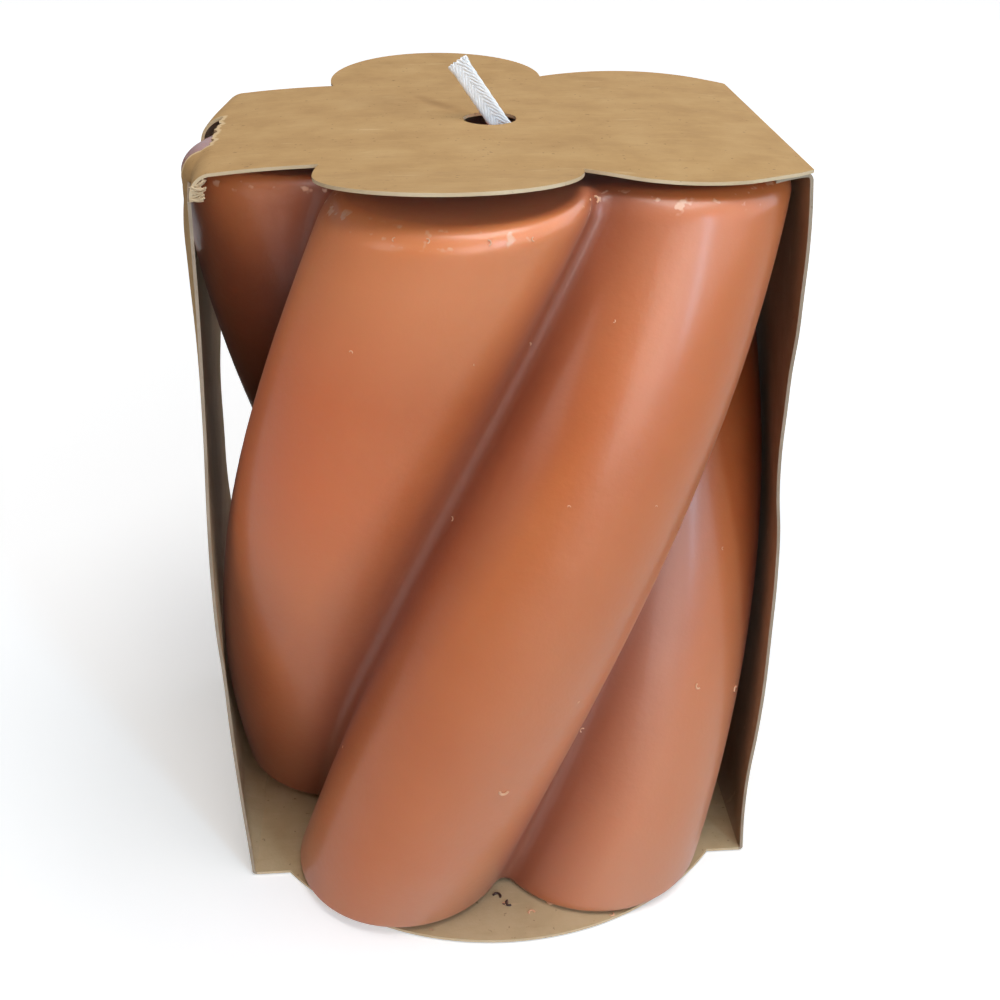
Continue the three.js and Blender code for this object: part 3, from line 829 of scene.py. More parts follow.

# %% [markdown]
# ## Card finish
#
# The wrap is thin brown kraft card. Its face is matt and shows long paper fibres and small
# specks. Its inner side is painted in two shaded copies of the card: a darker one, painted
# shade, inside the right wall and under the top panel, and a paler, greyer one, painted cool
# light in the shade, inside the base and the left wall. Where it is cut the paler core shows as
# a thin cream line, and where it is torn the core frays. The cut faces get a material of their
# own, and the walls' cut faces a darker, greyer copy of it, painted shade. A torn edge is painted
# on the face by an attribute that is 1 at the tear and 0 a little way from it.


# %% Kraft card materials
def kraft(name, base, light, dark, dark_patches=()):
    """Kraft card in three colours, with fibres, specks and torn edges.

    A dark patch on the top panel is given by its middle x and y, its direction in degrees, its
    half length and half width in millimetres, and its strength."""
    material, tree, shader = new_material(name)
    place = add_node(tree, "ShaderNodeTexCoord").outputs["Object"]
    mottled_card = place_group(tree, mottle_group, place, Base=base, Light=light, Dark=dark,
                               Scale=150.0, Amount=0.5)
    stretch = add_node(tree, "ShaderNodeMapping")
    stretch.inputs["Scale"].default_value = (0.22, 1.0, 0.5)
    tree.links.new(place, stretch.inputs["Vector"])
    fibres = Formula(tree, noise(tree, stretch.outputs["Vector"], 900.0, 3.0, 0.6))
    with_fibres = mix_colours(tree, fibres.share(0.56, 0.74) * 0.30,
                              mottled_card.outputs["Color"], light)
    with_dark = mix_colours(tree, (fibres * -1.0 + 1.0).share(0.58, 0.76) * 0.30, with_fibres,
                            dark)
    specks = Formula(tree, noise(tree, place, 1500.0, 1.0))
    speckled = mix_colours(tree, specks.share(0.72, 0.78) * 0.45, with_dark,
                           colour(112, 78, 46))
    scuffs = Formula(tree, noise(tree, stretch.outputs["Vector"], 420.0, 2.0, 0.7))
    card_colour = mix_colours(tree, scuffs.share(0.68, 0.76) * 0.35, speckled,
                              colour(226, 196, 152))
    place_x, place_y, _ = parts_of(tree, place)
    patch_noise = Formula(tree, noise(tree, place, 240.0, 3.0)) - 0.5
    # Dark patches, the first of them the wick's painted shadow, mix in a darker brown
    for middle_x, middle_y, direction, half_length, half_width, strength in dark_patches:
        off_x, off_y = place_x - middle_x * MM, place_y - middle_y * MM
        cosine, sine = math.cos(math.radians(direction)), math.sin(math.radians(direction))
        along = (off_x * cosine + off_y * sine) / (half_length * MM)
        across = (off_y * cosine - off_x * sine) / (half_width * MM)
        spread = (along * along + across * across).root() + patch_noise * 1.2
        card_colour = mix_colours(tree, spread.share(1.1, 0.2) * strength, card_colour,
                                  colour(134, 96, 58))
    torn_noise = Formula(tree, noise(tree, place, 1100.0, 3.0))
    torn = (attribute(tree, "torn") + (torn_noise - 0.5) * 0.9).share(0.42, 0.62)
    final = mix_colours(tree, torn * 0.85, card_colour, colour(226, 196, 152))
    tree.links.new(final, shader.inputs["Base Color"])
    shader.inputs["Roughness"].default_value = 0.85
    shader.inputs["Specular IOR Level"].default_value = 0.25
    grain_node = place_group(tree, grain_group, place, Fine=2600.0, Coarse=320.0,
                             Coarse_Share=0.45)
    bump(tree, shader, grain_node.outputs["Height"], 0.35, 0.00022)
    return material


KRAFT = (colour(194, 154, 103), colour(208, 170, 120), colour(172, 132, 85))
card_face = kraft("kraft_face", *KRAFT)
# The long narrow patch behind the wick hole is the wick's painted shadow, cast away from the window lamp;
# the two fainter patches darken the card
top_face = kraft("kraft_top_face", *KRAFT, dark_patches=(
    (-6.4, 7.8, 121.0, 7.5, 1.3, 0.40), (-12.0, 9.0, 110.0, 9.0, 6.0, 0.16),
    (7.0, -14.0, 20.0, 8.0, 3.0, 0.10)))
# Painted shade and light: the inner faces are a darker and a paler, greyer copy of the card
inner_deep_shade = kraft("kraft_inner_face_deep_shade", colour(164, 138, 108), colour(180, 154, 124),
                   colour(146, 120, 92))
inner_cool_light = kraft("kraft_inner_face_cool_light", colour(196, 172, 134), colour(208, 186, 150),
                   colour(178, 152, 114))
card_cut = kraft("kraft_cut_edge", colour(222, 194, 156), colour(236, 212, 178),
                 colour(200, 168, 126))
# Painted shade: the walls' cut edges are a darker, greyer copy of the cut edge
cut_edge_shaded = kraft("kraft_cut_edge_shaded", colour(172, 152, 130), colour(196, 178, 156),
                 colour(144, 124, 104))
print("card materials:", [m.name for m in bpy.data.materials if m.name.startswith("kraft")])

# %% [markdown]
# ## Folding card from a flat sheet
#
# Every part of the wrap starts as a grid of points on the card's outer face. Solidify gives the
# card its thickness on the inner side and puts the cut material on the rim. Before that, a
# drape step pushes any point whose inner face would touch the wax straight out along the card's
# own normal, as the real candle presses the real card.

# %% Card helpers
# Sizes of the wrap in millimetres
CARD = 0.4
FOLD_X = 35.0
FOLD_RADIUS = 0.6
WRAP_TOP = 100.0
BASE_HALF_FOLD = 23.9
LIP_RADIUS = 2.8
LIP_X = -FOLD_X + LIP_RADIUS
CROWN = 1.0
CROWN_POWER = 4
NOTCH = (8.6, 24.0)
FRONT_DROOP = 1.0
DROOP_START, DROOP_REACH = 17, 10  # where it starts towards the front, and how soon it is full
DRAPE_ROUNDS, DRAPE_LIMIT, DRAPE_SHARE = 12, 0.4, 0.7


def smooth_values(places, keys, values):
    """A smooth curve through (key, value) pairs, read at the given places."""
    keys, values = np.asarray(keys, float), np.asarray(values, float)
    slopes = np.gradient(values, keys)
    at = np.clip(places, keys[0], keys[-1])
    index = np.clip(np.searchsorted(keys, at, side="right") - 1, 0, len(keys) - 2)
    width = keys[index + 1] - keys[index]
    t = (at - keys[index]) / width
    return ((2 * t ** 3 - 3 * t ** 2 + 1) * values[index]
            + (t ** 3 - 2 * t ** 2 + t) * width * slopes[index]
            + (-2 * t ** 3 + 3 * t ** 2) * values[index + 1]
            + (t ** 3 - t ** 2) * width * slopes[index + 1])


def grid_faces(rows, columns, closed=False):
    """Quads of a grid whose points run along columns first. Closed joins the last column."""
    faces = []
    for row in range(rows - 1):
        for column in range(columns if closed else columns - 1):
            a = row * columns + column
            b = row * columns + (column + 1) % columns
            faces.append((a, b, b + columns, a + columns))
    return faces


def grid_normals(points):
    """Normals of a grid of points, rows by columns by 3."""
    normal = np.cross(np.gradient(points, axis=1), np.gradient(points, axis=0))
    return normal / np.maximum(np.linalg.norm(normal, axis=2, keepdims=True), 1e-9)


def drape(points, normals_of, clearance=0.12):
    """Pushes a card's outer face along its normals until its inner face clears the wax."""
    draped = points.copy()
    for _ in range(DRAPE_ROUNDS):
        normals = normals_of(draped)
        gap = wax_gap((draped - normals * CARD).reshape(-1, 3)).reshape(draped.shape[:-1])
        draped += normals * np.clip(clearance - gap, 0, DRAPE_LIMIT)[..., None] * DRAPE_SHARE
    return draped


# By default the inner face and the cut edge take the darker copies of the card, painted shade
def card_object(name, points, faces, torn, face_finish=card_face, inner_finish=inner_deep_shade,
                cut_finish=cut_edge_shaded):
    """A solid card from its outer face in millimetres. Its outer face, inner face and cut edge
    have a material each."""
    mesh = bpy.data.meshes.new(name)
    mesh.from_pydata((points.reshape(-1, 3) * MM).tolist(), [], faces)
    mesh.attributes.new("torn", "FLOAT", "POINT").data.foreach_set(
        "value", np.asarray(torn, np.float32).ravel())
    mesh.shade_smooth()
    for finish in (face_finish, inner_finish, cut_finish):
        mesh.materials.append(finish)
    sheet = bpy.data.objects.new(name + "_sheet", mesh)
    bpy.context.scene.collection.objects.link(sheet)
    thick = sheet.modifiers.new("thickness", "SOLIDIFY")
    thick.thickness = CARD * MM
    thick.offset = -1
    thick.use_quality_normals = True
    thick.material_offset = 1
    thick.material_offset_rim = 2
    split = sheet.modifiers.new("sharp rim", "EDGE_SPLIT")
    split.split_angle = math.radians(50)
    bpy.context.view_layer.update()
    shown = sheet.evaluated_get(bpy.context.evaluated_depsgraph_get())
    made = bpy.data.meshes.new_from_object(shown)
    made.name = name
    bpy.data.objects.remove(sheet)
    card = bpy.data.objects.new(name, made)
    bpy.context.scene.collection.objects.link(card)
    print(name, "has", len(made.polygons), "faces")
    return card


# %% [markdown]
# ## Base panel
#
# The panel under the candle is a disc of 76 mm that is cut straight at both sides, where the
# walls fold up from two short arms.

# %% Base panel piece
DISC_RADIUS = 38.15
BASE_RINGS = 14
RING_CROWDING = 0.7  # below 1 the rings lie closer together towards the edge
ROUND_STEPS = 360


def base_edge(angle):
    """Distance from the middle of the base panel to its edge."""
    fold = FOLD_X - FOLD_RADIUS
    x, y = math.cos(angle), math.sin(angle)
    reach = DISC_RADIUS
    to_fold = fold / max(abs(x), 1e-9)
    if abs(y) * to_fold <= BASE_HALF_FOLD:
        return to_fold
    to_arm = BASE_HALF_FOLD / max(abs(y), 1e-9)
    if to_arm * abs(x) <= fold and to_arm > reach:
        return to_arm
    return reach


base_angles = np.linspace(0, 2 * math.pi, ROUND_STEPS, endpoint=False)
corner_angles = []
for corner_x in (FOLD_X - FOLD_RADIUS, math.sqrt(DISC_RADIUS ** 2 - BASE_HALF_FOLD ** 2)):
    corner = math.atan2(BASE_HALF_FOLD, corner_x)
    corner_angles += [corner, math.pi - corner, math.pi + corner, 2 * math.pi - corner]
base_angles = np.unique(np.concatenate([base_angles, corner_angles]))
base_reach = np.array([base_edge(angle) for angle in base_angles])
base_rings = np.linspace(0, 1, BASE_RINGS) ** RING_CROWDING
base_points = np.zeros((BASE_RINGS, len(base_angles), 3))
base_points[..., 0] = base_rings[:, None] * (base_reach * np.cos(base_angles))[None]
base_points[..., 1] = base_rings[:, None] * (base_reach * np.sin(base_angles))[None]
base_faces = grid_faces(BASE_RINGS, len(base_angles), closed=True)[len(base_angles):]
base_ring_start = len(base_angles)
base_flat = base_points.reshape(-1, 3)[base_ring_start:]
base_flat = np.vstack([base_flat, [[0, 0, 0]]])
base_quads = [tuple(i - base_ring_start for i in face) for face in base_faces]
base_hub = len(base_flat) - 1
for step in range(len(base_angles)):
    base_quads.append(((step + 1) % len(base_angles), step, base_hub))
card_base = card_object("card_base", base_flat, base_quads, np.zeros(len(base_flat)),
                        inner_finish=inner_cool_light, cut_finish=card_cut)
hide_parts("base_panel")
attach(card_base, "base")

# %% [markdown]
# ## Walls
#
# Each wall folds up from the base panel with a tight crease and bows outwards, because the
# candle is wider than the wrap. A bow is given along the wall's front edge, its middle and its
# rear edge. The front edge follows points picked on the photograph. The middle and the rear were
# fitted so that the card clears the wax, and only a stretch of the left wall's rear edge shows in
# the photograph. The left wall ends at the top in a tear, where a strand of wax has burst through
# the fold. The right wall turns in at the top to a narrow flap. The flap's front and rear ends
# widen with the top panel's edge above it, so the two cut edges lie on each other.

# %% Bows of the walls
# Pairs of height and distance from the straight wall, in millimetres
LEFT_BOW = {
    "front": [(0, 0), (1.2, 0.04), (4.8, 0.2), (7.6, 0.4), (14.5, 0.8), (21, 1.1), (28, 1.3),
              (34, 1.5), (40, 1.8), (46, 1.83), (58, 1.5), (66, 1.1), (71, 0.9), (76, 0.7),
              (82, 0.5), (96.7, 0.25)],
    "middle": [(0, 0), (1.2, 3.3), (2.4, 3.9), (4.8, 4.1), (7.7, 4.3), (13.5, 4.6), (19, 4.9),
               (29, 5.0), (40, 4.2), (58, 3.9), (75, 3.7), (85, 4.0), (91, 3.9), (94, 3.4),
               (96.7, 2.3)],
    "rear": [(0, 0), (1.2, 0.7), (4.8, 2.0), (13.5, 3.8), (19, 4.7), (29, 5.4), (40, 5.8),
             (47, 5.6), (58, 5.2), (64, 4.6), (75, 3.5), (85, 2.2), (91, 1.3), (96.7, 0.5)],
}
RIGHT_BOW = {
    "front": [(0, 0), (6, -0.25), (13.5, -0.13), (20, 0.4), (27, 0.8), (37, 0.9), (47, 0.84),
              (53, 0.55), (58, 0), (64, -0.28), (70, -0.17), (75, -0.06), (80, 0.29),
              (85, 0.39), (90, 0.48), (95, 0.34), (99.4, 0)],
    "middle": [(0, 0), (1.2, 1.6), (3, 2.4), (8, 2.7), (20, 3.0), (37, 3.5), (50, 3.8),
               (56, 3.8), (64, 3.5), (77, 2.9), (89, 1.8), (99.4, 0)],
    "rear": [(0, 0), (1.2, 0.4), (3, 1.0), (8, 1.8), (20, 2.7), (37, 3.2), (56, 3.1),
             (64, 2.8), (77, 2.1), (89, 1.2), (99.4, 0)],
}


def wall_bow(bows, height, place, front_power=2.0):
    """How far a wall stands out at a height and a place across it, from -1 front to 1 rear."""
    front, middle, rear = (smooth_values(height, *zip(*bows[edge]))
                           for edge in ("front", "middle", "rear"))
    curve = np.abs(place) ** np.where(place < 0, front_power, 2.0)
    return middle + (rear - front) / 2 * place + ((rear + front) / 2 - middle) * curve


def crown_over(x):
    """How far the top panel rises over the candle, at a place between its two folds."""
    span = np.clip((x - LIP_X) / (FOLD_X - LIP_X), 0, 1)
    return CROWN * (1 - np.abs(2 * span - 1) ** CROWN_POWER) * (x > LIP_X)


def droop(x, y):
    """How far the right arm's front edge hangs down over the candle."""
    span = np.clip((x - NOTCH[0]) / (FOLD_X - NOTCH[0]), 0, 1)
    near_front = np.clip((-y - DROOP_START) / DROOP_REACH, 0, 1)
    return FRONT_DROOP * np.sin(math.pi * span) * near_front ** 2


def crease_points(radius, steps):
    """The quarter circle of the outer face from the base panel up into a wall, as (x, z)."""
    turns = np.linspace(0, math.pi / 2, steps)
    return [(FOLD_X - radius + radius * math.sin(t), radius - radius * math.cos(t))
            for t in turns]


# %% [markdown]
# A torn edge is uneven in the same way in every run, so its waves get their phases from a seed.


# %% Ragged edges
def ragged(values, seed, strength, fineness):
    """A repeatable uneven line for torn card, from a few waves with seeded phases."""
    random = np.random.default_rng(seed)
    line = np.zeros_like(values)
    for octave in range(5):
        wave = fineness * 1.9 ** octave
        line += np.sin(values * wave + random.uniform(0, 6.28)) * 0.62 ** octave
    return line * strength


# %% [markdown]
# ## Left wall
#
# The wall's rows of points run up to the tear, so its ragged edge is the end of the mesh. The
# card close to the tear is marked as torn.

# %% Left wall piece
LEFT_TOP = 96.7
LEFT_HALF_TOP = 20.0
TEAR_FRONT, TEAR_REAR = -9.6, 6.0
TEAR_DOWN_WALL = 12.0
TEAR_SQUARENESS = 2.6
TEAR_EDGE = 0.25
WALL_TORN_REACH = 1.2
CREASE_STEPS = 7
WALL_COLUMNS = 150
WALL_ROWS = 110


def tear_depth(y):
    """How far the tear runs down the wall below the fold, at a place along it."""
    middle, half = (TEAR_FRONT + TEAR_REAR) / 2, (TEAR_REAR - TEAR_FRONT) / 2
    place = np.clip(np.abs(y - middle) / half, 0, 1)
    uneven = ragged(y, seed=5, strength=0.22, fineness=1.3)
    return TEAR_DOWN_WALL * (1 - place ** TEAR_SQUARENESS) + uneven * (place < 1)


left_y_share = np.linspace(-1, 1, WALL_COLUMNS)
left_edges = [(TEAR_FRONT - 0.02) / LEFT_HALF_TOP, (TEAR_FRONT + TEAR_EDGE) / LEFT_HALF_TOP,
              (TEAR_REAR - TEAR_EDGE) / LEFT_HALF_TOP, (TEAR_REAR + 0.02) / LEFT_HALF_TOP]
left_y_share = np.unique(np.concatenate([left_y_share, left_edges]))
left_top_y = left_y_share * LEFT_HALF_TOP
left_top_z = LEFT_TOP - tear_depth(left_top_y)
left_grid = []
crease = crease_points(FOLD_RADIUS, CREASE_STEPS)
for x, z in crease[:-1]:
    left_grid.append(np.stack([np.full_like(left_y_share, -x),
                               left_y_share * BASE_HALF_FOLD,
                               np.full_like(left_y_share, z)], 1))
for step in range(WALL_ROWS + 1):
    share = step / WALL_ROWS
    z = FOLD_RADIUS + (left_top_z - FOLD_RADIUS) * share
    half = BASE_HALF_FOLD + (LEFT_HALF_TOP - BASE_HALF_FOLD) * z / LEFT_TOP
    x = -(FOLD_X + wall_bow(LEFT_BOW, z, left_y_share, 1.5))
    left_grid.append(np.stack([x, left_y_share * half, z], 1))
left_grid = drape(np.array(left_grid), lambda grid: -grid_normals(grid))
left_torn = np.zeros(left_grid.shape[:2])
in_tear = (left_top_y > TEAR_FRONT) & (left_top_y < TEAR_REAR)
below_tear = left_top_z[None, :] - left_grid[..., 2]
left_torn[:, in_tear] = np.clip(1 - below_tear[:, in_tear] / WALL_TORN_REACH, 0, 1)
left_faces = [face[::-1] for face in grid_faces(*left_grid.shape[:2])]
# The left wall's inner face takes the paler copy, painted cool light in the shade
card_left = card_object("card_left_wall", left_grid, left_faces, left_torn,
                        inner_finish=inner_cool_light)
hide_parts("left_wall")
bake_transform(card_left)

# %% [markdown]
# ## Right wall
#
# The right wall is one sheet with its closing flap: the rows of points run up the wall, round a
# tight fold and in under the top panel.

# %% Right wall piece with its closing flap
RIGHT_TOP_HALF = 22.4
FLAP_WIDTH = 5.0
FLAP_WIDENING = 0.6
FLAP_TOP = 99.5
RIGHT_COLUMNS = 70

right_share = np.linspace(-1, 1, RIGHT_COLUMNS)
right_grid = []
for x, z in crease[:-1]:
    right_grid.append(np.stack([np.full_like(right_share, x), right_share * BASE_HALF_FOLD,
                                np.full_like(right_share, z)], 1))
RIGHT_STRAIGHT_TOP = FLAP_TOP - FOLD_RADIUS
for z in np.linspace(FOLD_RADIUS, RIGHT_STRAIGHT_TOP, WALL_ROWS):
    half = BASE_HALF_FOLD + (RIGHT_TOP_HALF - BASE_HALF_FOLD) * z / FLAP_TOP
    x = FOLD_X + wall_bow(RIGHT_BOW, z, right_share)
    right_grid.append(np.stack([x, right_share * half, np.full_like(right_share, z)], 1))
for t in np.linspace(0, math.pi / 2, 6)[1:]:
    x = FOLD_X - FOLD_RADIUS + FOLD_RADIUS * math.cos(t)
    z = RIGHT_STRAIGHT_TOP + FOLD_RADIUS * math.sin(t)
    right_grid.append(np.stack([np.full_like(right_share, x), right_share * RIGHT_TOP_HALF,
                                np.full_like(right_share, z)], 1))
for share in np.linspace(0, 1, 9)[1:]:
    x = FOLD_X - FOLD_RADIUS - share * (FLAP_WIDTH - FOLD_RADIUS)
    half = RIGHT_TOP_HALF + FLAP_WIDENING * (FOLD_X - FOLD_RADIUS - x)
    right_grid.append(np.stack([np.full_like(right_share, x), right_share * half,
                                FLAP_TOP + crown_over(x) - droop(x, right_share * half)], 1))
right_grid = drape(np.array(right_grid), grid_normals)
right_faces = grid_faces(*right_grid.shape[:2])
card_right = card_object("card_right_wall", right_grid, right_faces,
                         np.zeros(right_grid.shape[:2]))
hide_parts("right_wall", "closing_flap")
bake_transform(card_right)

# %% [markdown]
# ## Top panel
#
# The top panel is drawn flat first: its left arm, the two round lobes, the wider right arm and
# the hole for the wick. The outline is filled with small triangles, finer towards the left lip.
# Then the flat sheet is bent: it is slightly crowned over the candle, and its left end turns
# down over a soft round lip to meet the left wall.

# %% Outline of the flat top panel
LIP_ARC = LIP_RADIUS * math.pi / 2
LIP_STRAIGHT = WRAP_TOP - LIP_RADIUS - LEFT_TOP
FLAT_LEFT = LIP_X - LIP_ARC - LIP_STRAIGHT
LOBE_X, LOBE_Y, LOBE_RADIUS = -6.2, 24.0, 14.8
REAR_BULGE, FRONT_BULGE = (21.0, 27.0), (21.0, 27.9)
HOLE_X, HOLE_Y, HOLE_RADIUS = -0.15, -0.6, 3.35
TEAR_INNER_X, TEAR_INNER_FRONT = -32.6, -7.3
TEAR_INNER_SLANT = 0.3
TEAR_REAR_SPREAD = 0.5


def circle_through(a, b, c):
    """Middle and radius of the circle through three points."""
    rows = np.array([[b[0] - a[0], b[1] - a[1]], [c[0] - a[0], c[1] - a[1]]]) * 2
    sums = [b[0] ** 2 + b[1] ** 2 - a[0] ** 2 - a[1] ** 2,
            c[0] ** 2 + c[1] ** 2 - a[0] ** 2 - a[1] ** 2]
    x, y = np.linalg.solve(rows, sums)
    return x, y, math.hypot(a[0] - x, a[1] - y)


def arc(x, y, radius, start, end, steps):
    """Points along a circle from one angle to another."""
    return [(x + radius * math.cos(t), y + radius * math.sin(t))
            for t in np.linspace(start, end, steps)]


def panel_outline():
    """The flat panel's edge, anticlockwise, as points with a torn mark from 0 to 1."""
    sides = []
    for bulge in (REAR_BULGE, FRONT_BULGE):
        bulge_x, bulge_y, bulge_radius = circle_through(NOTCH, bulge,
                                                        (FOLD_X, RIGHT_TOP_HALF))
        start = math.atan2(NOTCH[1] - bulge_y, NOTCH[0] - bulge_x)
        end = math.atan2(RIGHT_TOP_HALF - bulge_y, FOLD_X - bulge_x)
        lobe_end = math.pi + math.asin((LOBE_Y - LEFT_HALF_TOP) / LOBE_RADIUS)
        side = arc(bulge_x, bulge_y, bulge_radius, end, start, 60)
        side += arc(LOBE_X, LOBE_Y, LOBE_RADIUS, 0, lobe_end, 80)[1:]
        side += [(x, LEFT_HALF_TOP) for x in np.linspace(side[-1][0], FLAT_LEFT, 40)[1:]]
        sides.append(side)
    side = sides[0]
    right_edge = [(FOLD_X, y) for y in np.linspace(-RIGHT_TOP_HALF, RIGHT_TOP_HALF, 60)]
    front = [(x, -y) for x, y in reversed(sides[1])]
    plain = [(x, y, 0.0) for x, y in right_edge[:-1] + side]
    left = [(FLAT_LEFT, y, 0.0) for y in np.linspace(LEFT_HALF_TOP, TEAR_REAR, 30)[1:]]
    inner, slant, inner_rear = TEAR_INNER_X, TEAR_INNER_SLANT, TEAR_REAR + TEAR_REAR_SPREAD
    for share in np.linspace(0, 1, 12)[1:]:
        left.append((FLAT_LEFT + (inner - FLAT_LEFT) * share,
                     TEAR_REAR + TEAR_REAR_SPREAD * share, 1.0))
    for share in np.linspace(0, 1, 34)[1:]:
        y = inner_rear - share * (inner_rear - TEAR_INNER_FRONT)
        uneven = float(ragged(np.array(y), seed=7, strength=0.16, fineness=1.6))
        left.append((inner - slant * share ** 2 + uneven, y, 1.0))
    for share in np.linspace(0, 1, 16)[1:]:
        x = inner - slant + (FLAT_LEFT - inner + slant) * share
        y = TEAR_INNER_FRONT + (TEAR_FRONT - TEAR_INNER_FRONT) * share ** 0.7
        uneven = float(ragged(np.array(x), seed=11, strength=0.05, fineness=2.0))
        left.append((x, y + uneven, 1.0))
    left += [(FLAT_LEFT, y, 0.0) for y in np.linspace(TEAR_FRONT, -LEFT_HALF_TOP, 30)[1:]]
    return plain + left + [(x, y, 0.0) for x, y in front[1:-1]]


outline_points = np.array(panel_outline())
print("top panel outline has", len(outline_points), "points")


# %% [markdown]
# The outline, the hole's edge and a staggered filling of points are joined into triangles. The
# filling is finer where the lip bends, and keeps a little room to every edge.


# %% Fill the outline with triangles
def inside(points, outline):
    """Which points in plan lie inside a closed outline."""
    x, y = points[:, 0, None], points[:, 1, None]
    (x0, y0), (x1, y1) = outline.T, np.roll(outline, -1, 0).T
    rise = np.where(y1 == y0, 1e-9, y1 - y0)
    crossed = ((y0 > y) != (y1 > y)) & (x < (x1 - x0) * (y - y0) / rise + x0)
    return crossed.sum(1) % 2 == 1


def staggered_grid(low_x, high_x, half_y, step):
    """Points in plan in staggered columns, a step apart."""
    columns = np.arange(low_x, high_x, step * COLUMN_SHARE)
    return np.concatenate([np.stack([np.full_like(line, x), line], 1)
                           for number, x in enumerate(columns)
                           for line in [np.arange(-half_y, half_y, step) + step * (number % 2) / 2]])


FINE_END = -27.0
FINE_STEP, COARSE_STEP = 0.5, 1.0
FINE_ROOM, COARSE_ROOM = 0.25, 0.45
COLUMN_SHARE = 0.87  # columns lie closer than the points in them, so the triangles are even
FILLING_HALF_Y = 40
HOLE_STEPS = 72
hole_turns = np.linspace(0, 2 * math.pi, HOLE_STEPS, endpoint=False)
hole_edge = np.stack([HOLE_X + HOLE_RADIUS * np.cos(hole_turns),
                      HOLE_Y + HOLE_RADIUS * np.sin(hole_turns)], 1)
rim = np.vstack([outline_points[:, :2], hole_edge])
filling = np.vstack([staggered_grid(FLAT_LEFT, FINE_END, FILLING_HALF_Y, FINE_STEP),
                     staggered_grid(FINE_END, FOLD_X, FILLING_HALF_Y, COARSE_STEP)])
filling = filling[inside(filling, outline_points[:, :2])]
room = np.concatenate([np.hypot(*(block[:, None] - rim[None]).transpose(2, 0, 1)).min(1)
                       for block in np.array_split(filling, 8)])
filling = filling[room > np.where(filling[:, 0] < FINE_END, FINE_ROOM, COARSE_ROOM)]
filling = filling[np.hypot(filling[:, 0] - HOLE_X, filling[:, 1] - HOLE_Y) > HOLE_RADIUS]


def loop(start, count):
    """The edges of a closed loop of points."""
    return [(start + step, start + (step + 1) % count) for step in range(count)]


flat_result = delaunay_2d_cdt(
    [Vector(point) for point in np.vstack([rim, filling])],
    loop(0, len(outline_points)) + loop(len(outline_points), len(hole_edge)), [], 1, 1e-4)
flat_points = np.array([tuple(point) for point in flat_result[0]])
flat_faces = [face for face in flat_result[2]
              if np.hypot(*(flat_points[list(face)].mean(0) - (HOLE_X, HOLE_Y))) > HOLE_RADIUS]
print("top panel has", len(flat_faces), "triangles")

# %% [markdown]
# Bending moves the flat points: over the lip, up to the crown, and down at the right arm's front
# edge. The lobes curl up a little past their notch, and the candle presses the lip outwards.

# %% Bend and solidify the top panel
# Pairs of a place along the lip and how far it is pressed out, in millimetres
LIP_BULGE = [(-20, 0), (-16, 0.35), (-6, 1.7), (1, 2.2), (9, 2.0), (20, 0.6)]
LIP_BULGE_REACH = 14
PANEL_TORN_REACH = 0.9
FRONT_CURL = 0.13
REAR_CURL = 0.04


def bent_panel(flat):
    """Where points of the flat panel's outer face lie once the panel is folded."""
    flat_x, flat_y = flat.T
    around_lip = np.clip((LIP_X - flat_x) / LIP_RADIUS, 0, math.pi / 2)
    below = np.maximum(LIP_X - flat_x - LIP_ARC, 0)
    x = np.where(flat_x > LIP_X, flat_x, LIP_X - LIP_RADIUS * np.sin(around_lip))
    z = WRAP_TOP - LIP_RADIUS + LIP_RADIUS * np.cos(around_lip) - below + crown_over(flat_x)
    past_notch = np.maximum(np.abs(flat_y) - NOTCH[1], 0)
    z = z + past_notch * np.where(flat_y < 0, FRONT_CURL, REAR_CURL)
    bulge = np.clip(1 - np.maximum(flat_x - FLAT_LEFT, 0) / LIP_BULGE_REACH, 0, 1)
    bulge = bulge * smooth_values(flat_y, *zip(*LIP_BULGE))
    return np.stack([x - bulge, flat_y, z - droop(flat_x, flat_y)], -1)


def panel_normals(_):
    """The outward normals of the bent panel at its points."""
    step_x, step_y = np.array([0.05, 0]), np.array([0, 0.05])
    normal = np.cross(bent_panel(flat_points + step_x) - bent_panel(flat_points - step_x),
                      bent_panel(flat_points + step_y) - bent_panel(flat_points - step_y))
    return normal / np.linalg.norm(normal, axis=1, keepdims=True)


torn_edge = outline_points[outline_points[:, 2] > 0, :2]
to_tear = np.hypot(*(flat_points[:, None] - torn_edge[None]).transpose(2, 0, 1)).min(1)
panel_points = drape(bent_panel(flat_points), panel_normals)
card_top = card_object("card_top_panel", panel_points, flat_faces,
                       np.clip(1 - to_tear / PANEL_TORN_REACH, 0, 1), top_face, cut_finish=card_cut)
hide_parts("top_panel")
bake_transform(card_top)

# %% [markdown]
# ## Crumbs and frayed fibres
#
# Small curls and crumbs of pale wax cling to the candle and lie on the card at its foot, where a
# few of them are coloured dark, and a tuft of torn card fibres hangs at the left front corner.
# All are slivers that follow an arc. One tree grows a sliver and sets a copy on each seed point,
# turned as the point says.

# %% Geometry Nodes tree of the slivers
CRUMB = {"Length": 1.7, "Thickness": 0.34, "Bend": 190.0, "Taper": 0.55}
FIBRE = {"Length": 1.3, "Thickness": 0.24, "Bend": 50.0, "Taper": 0.8}
SLIVER_POINTS = 10
SLIVER_CORNERS = 6

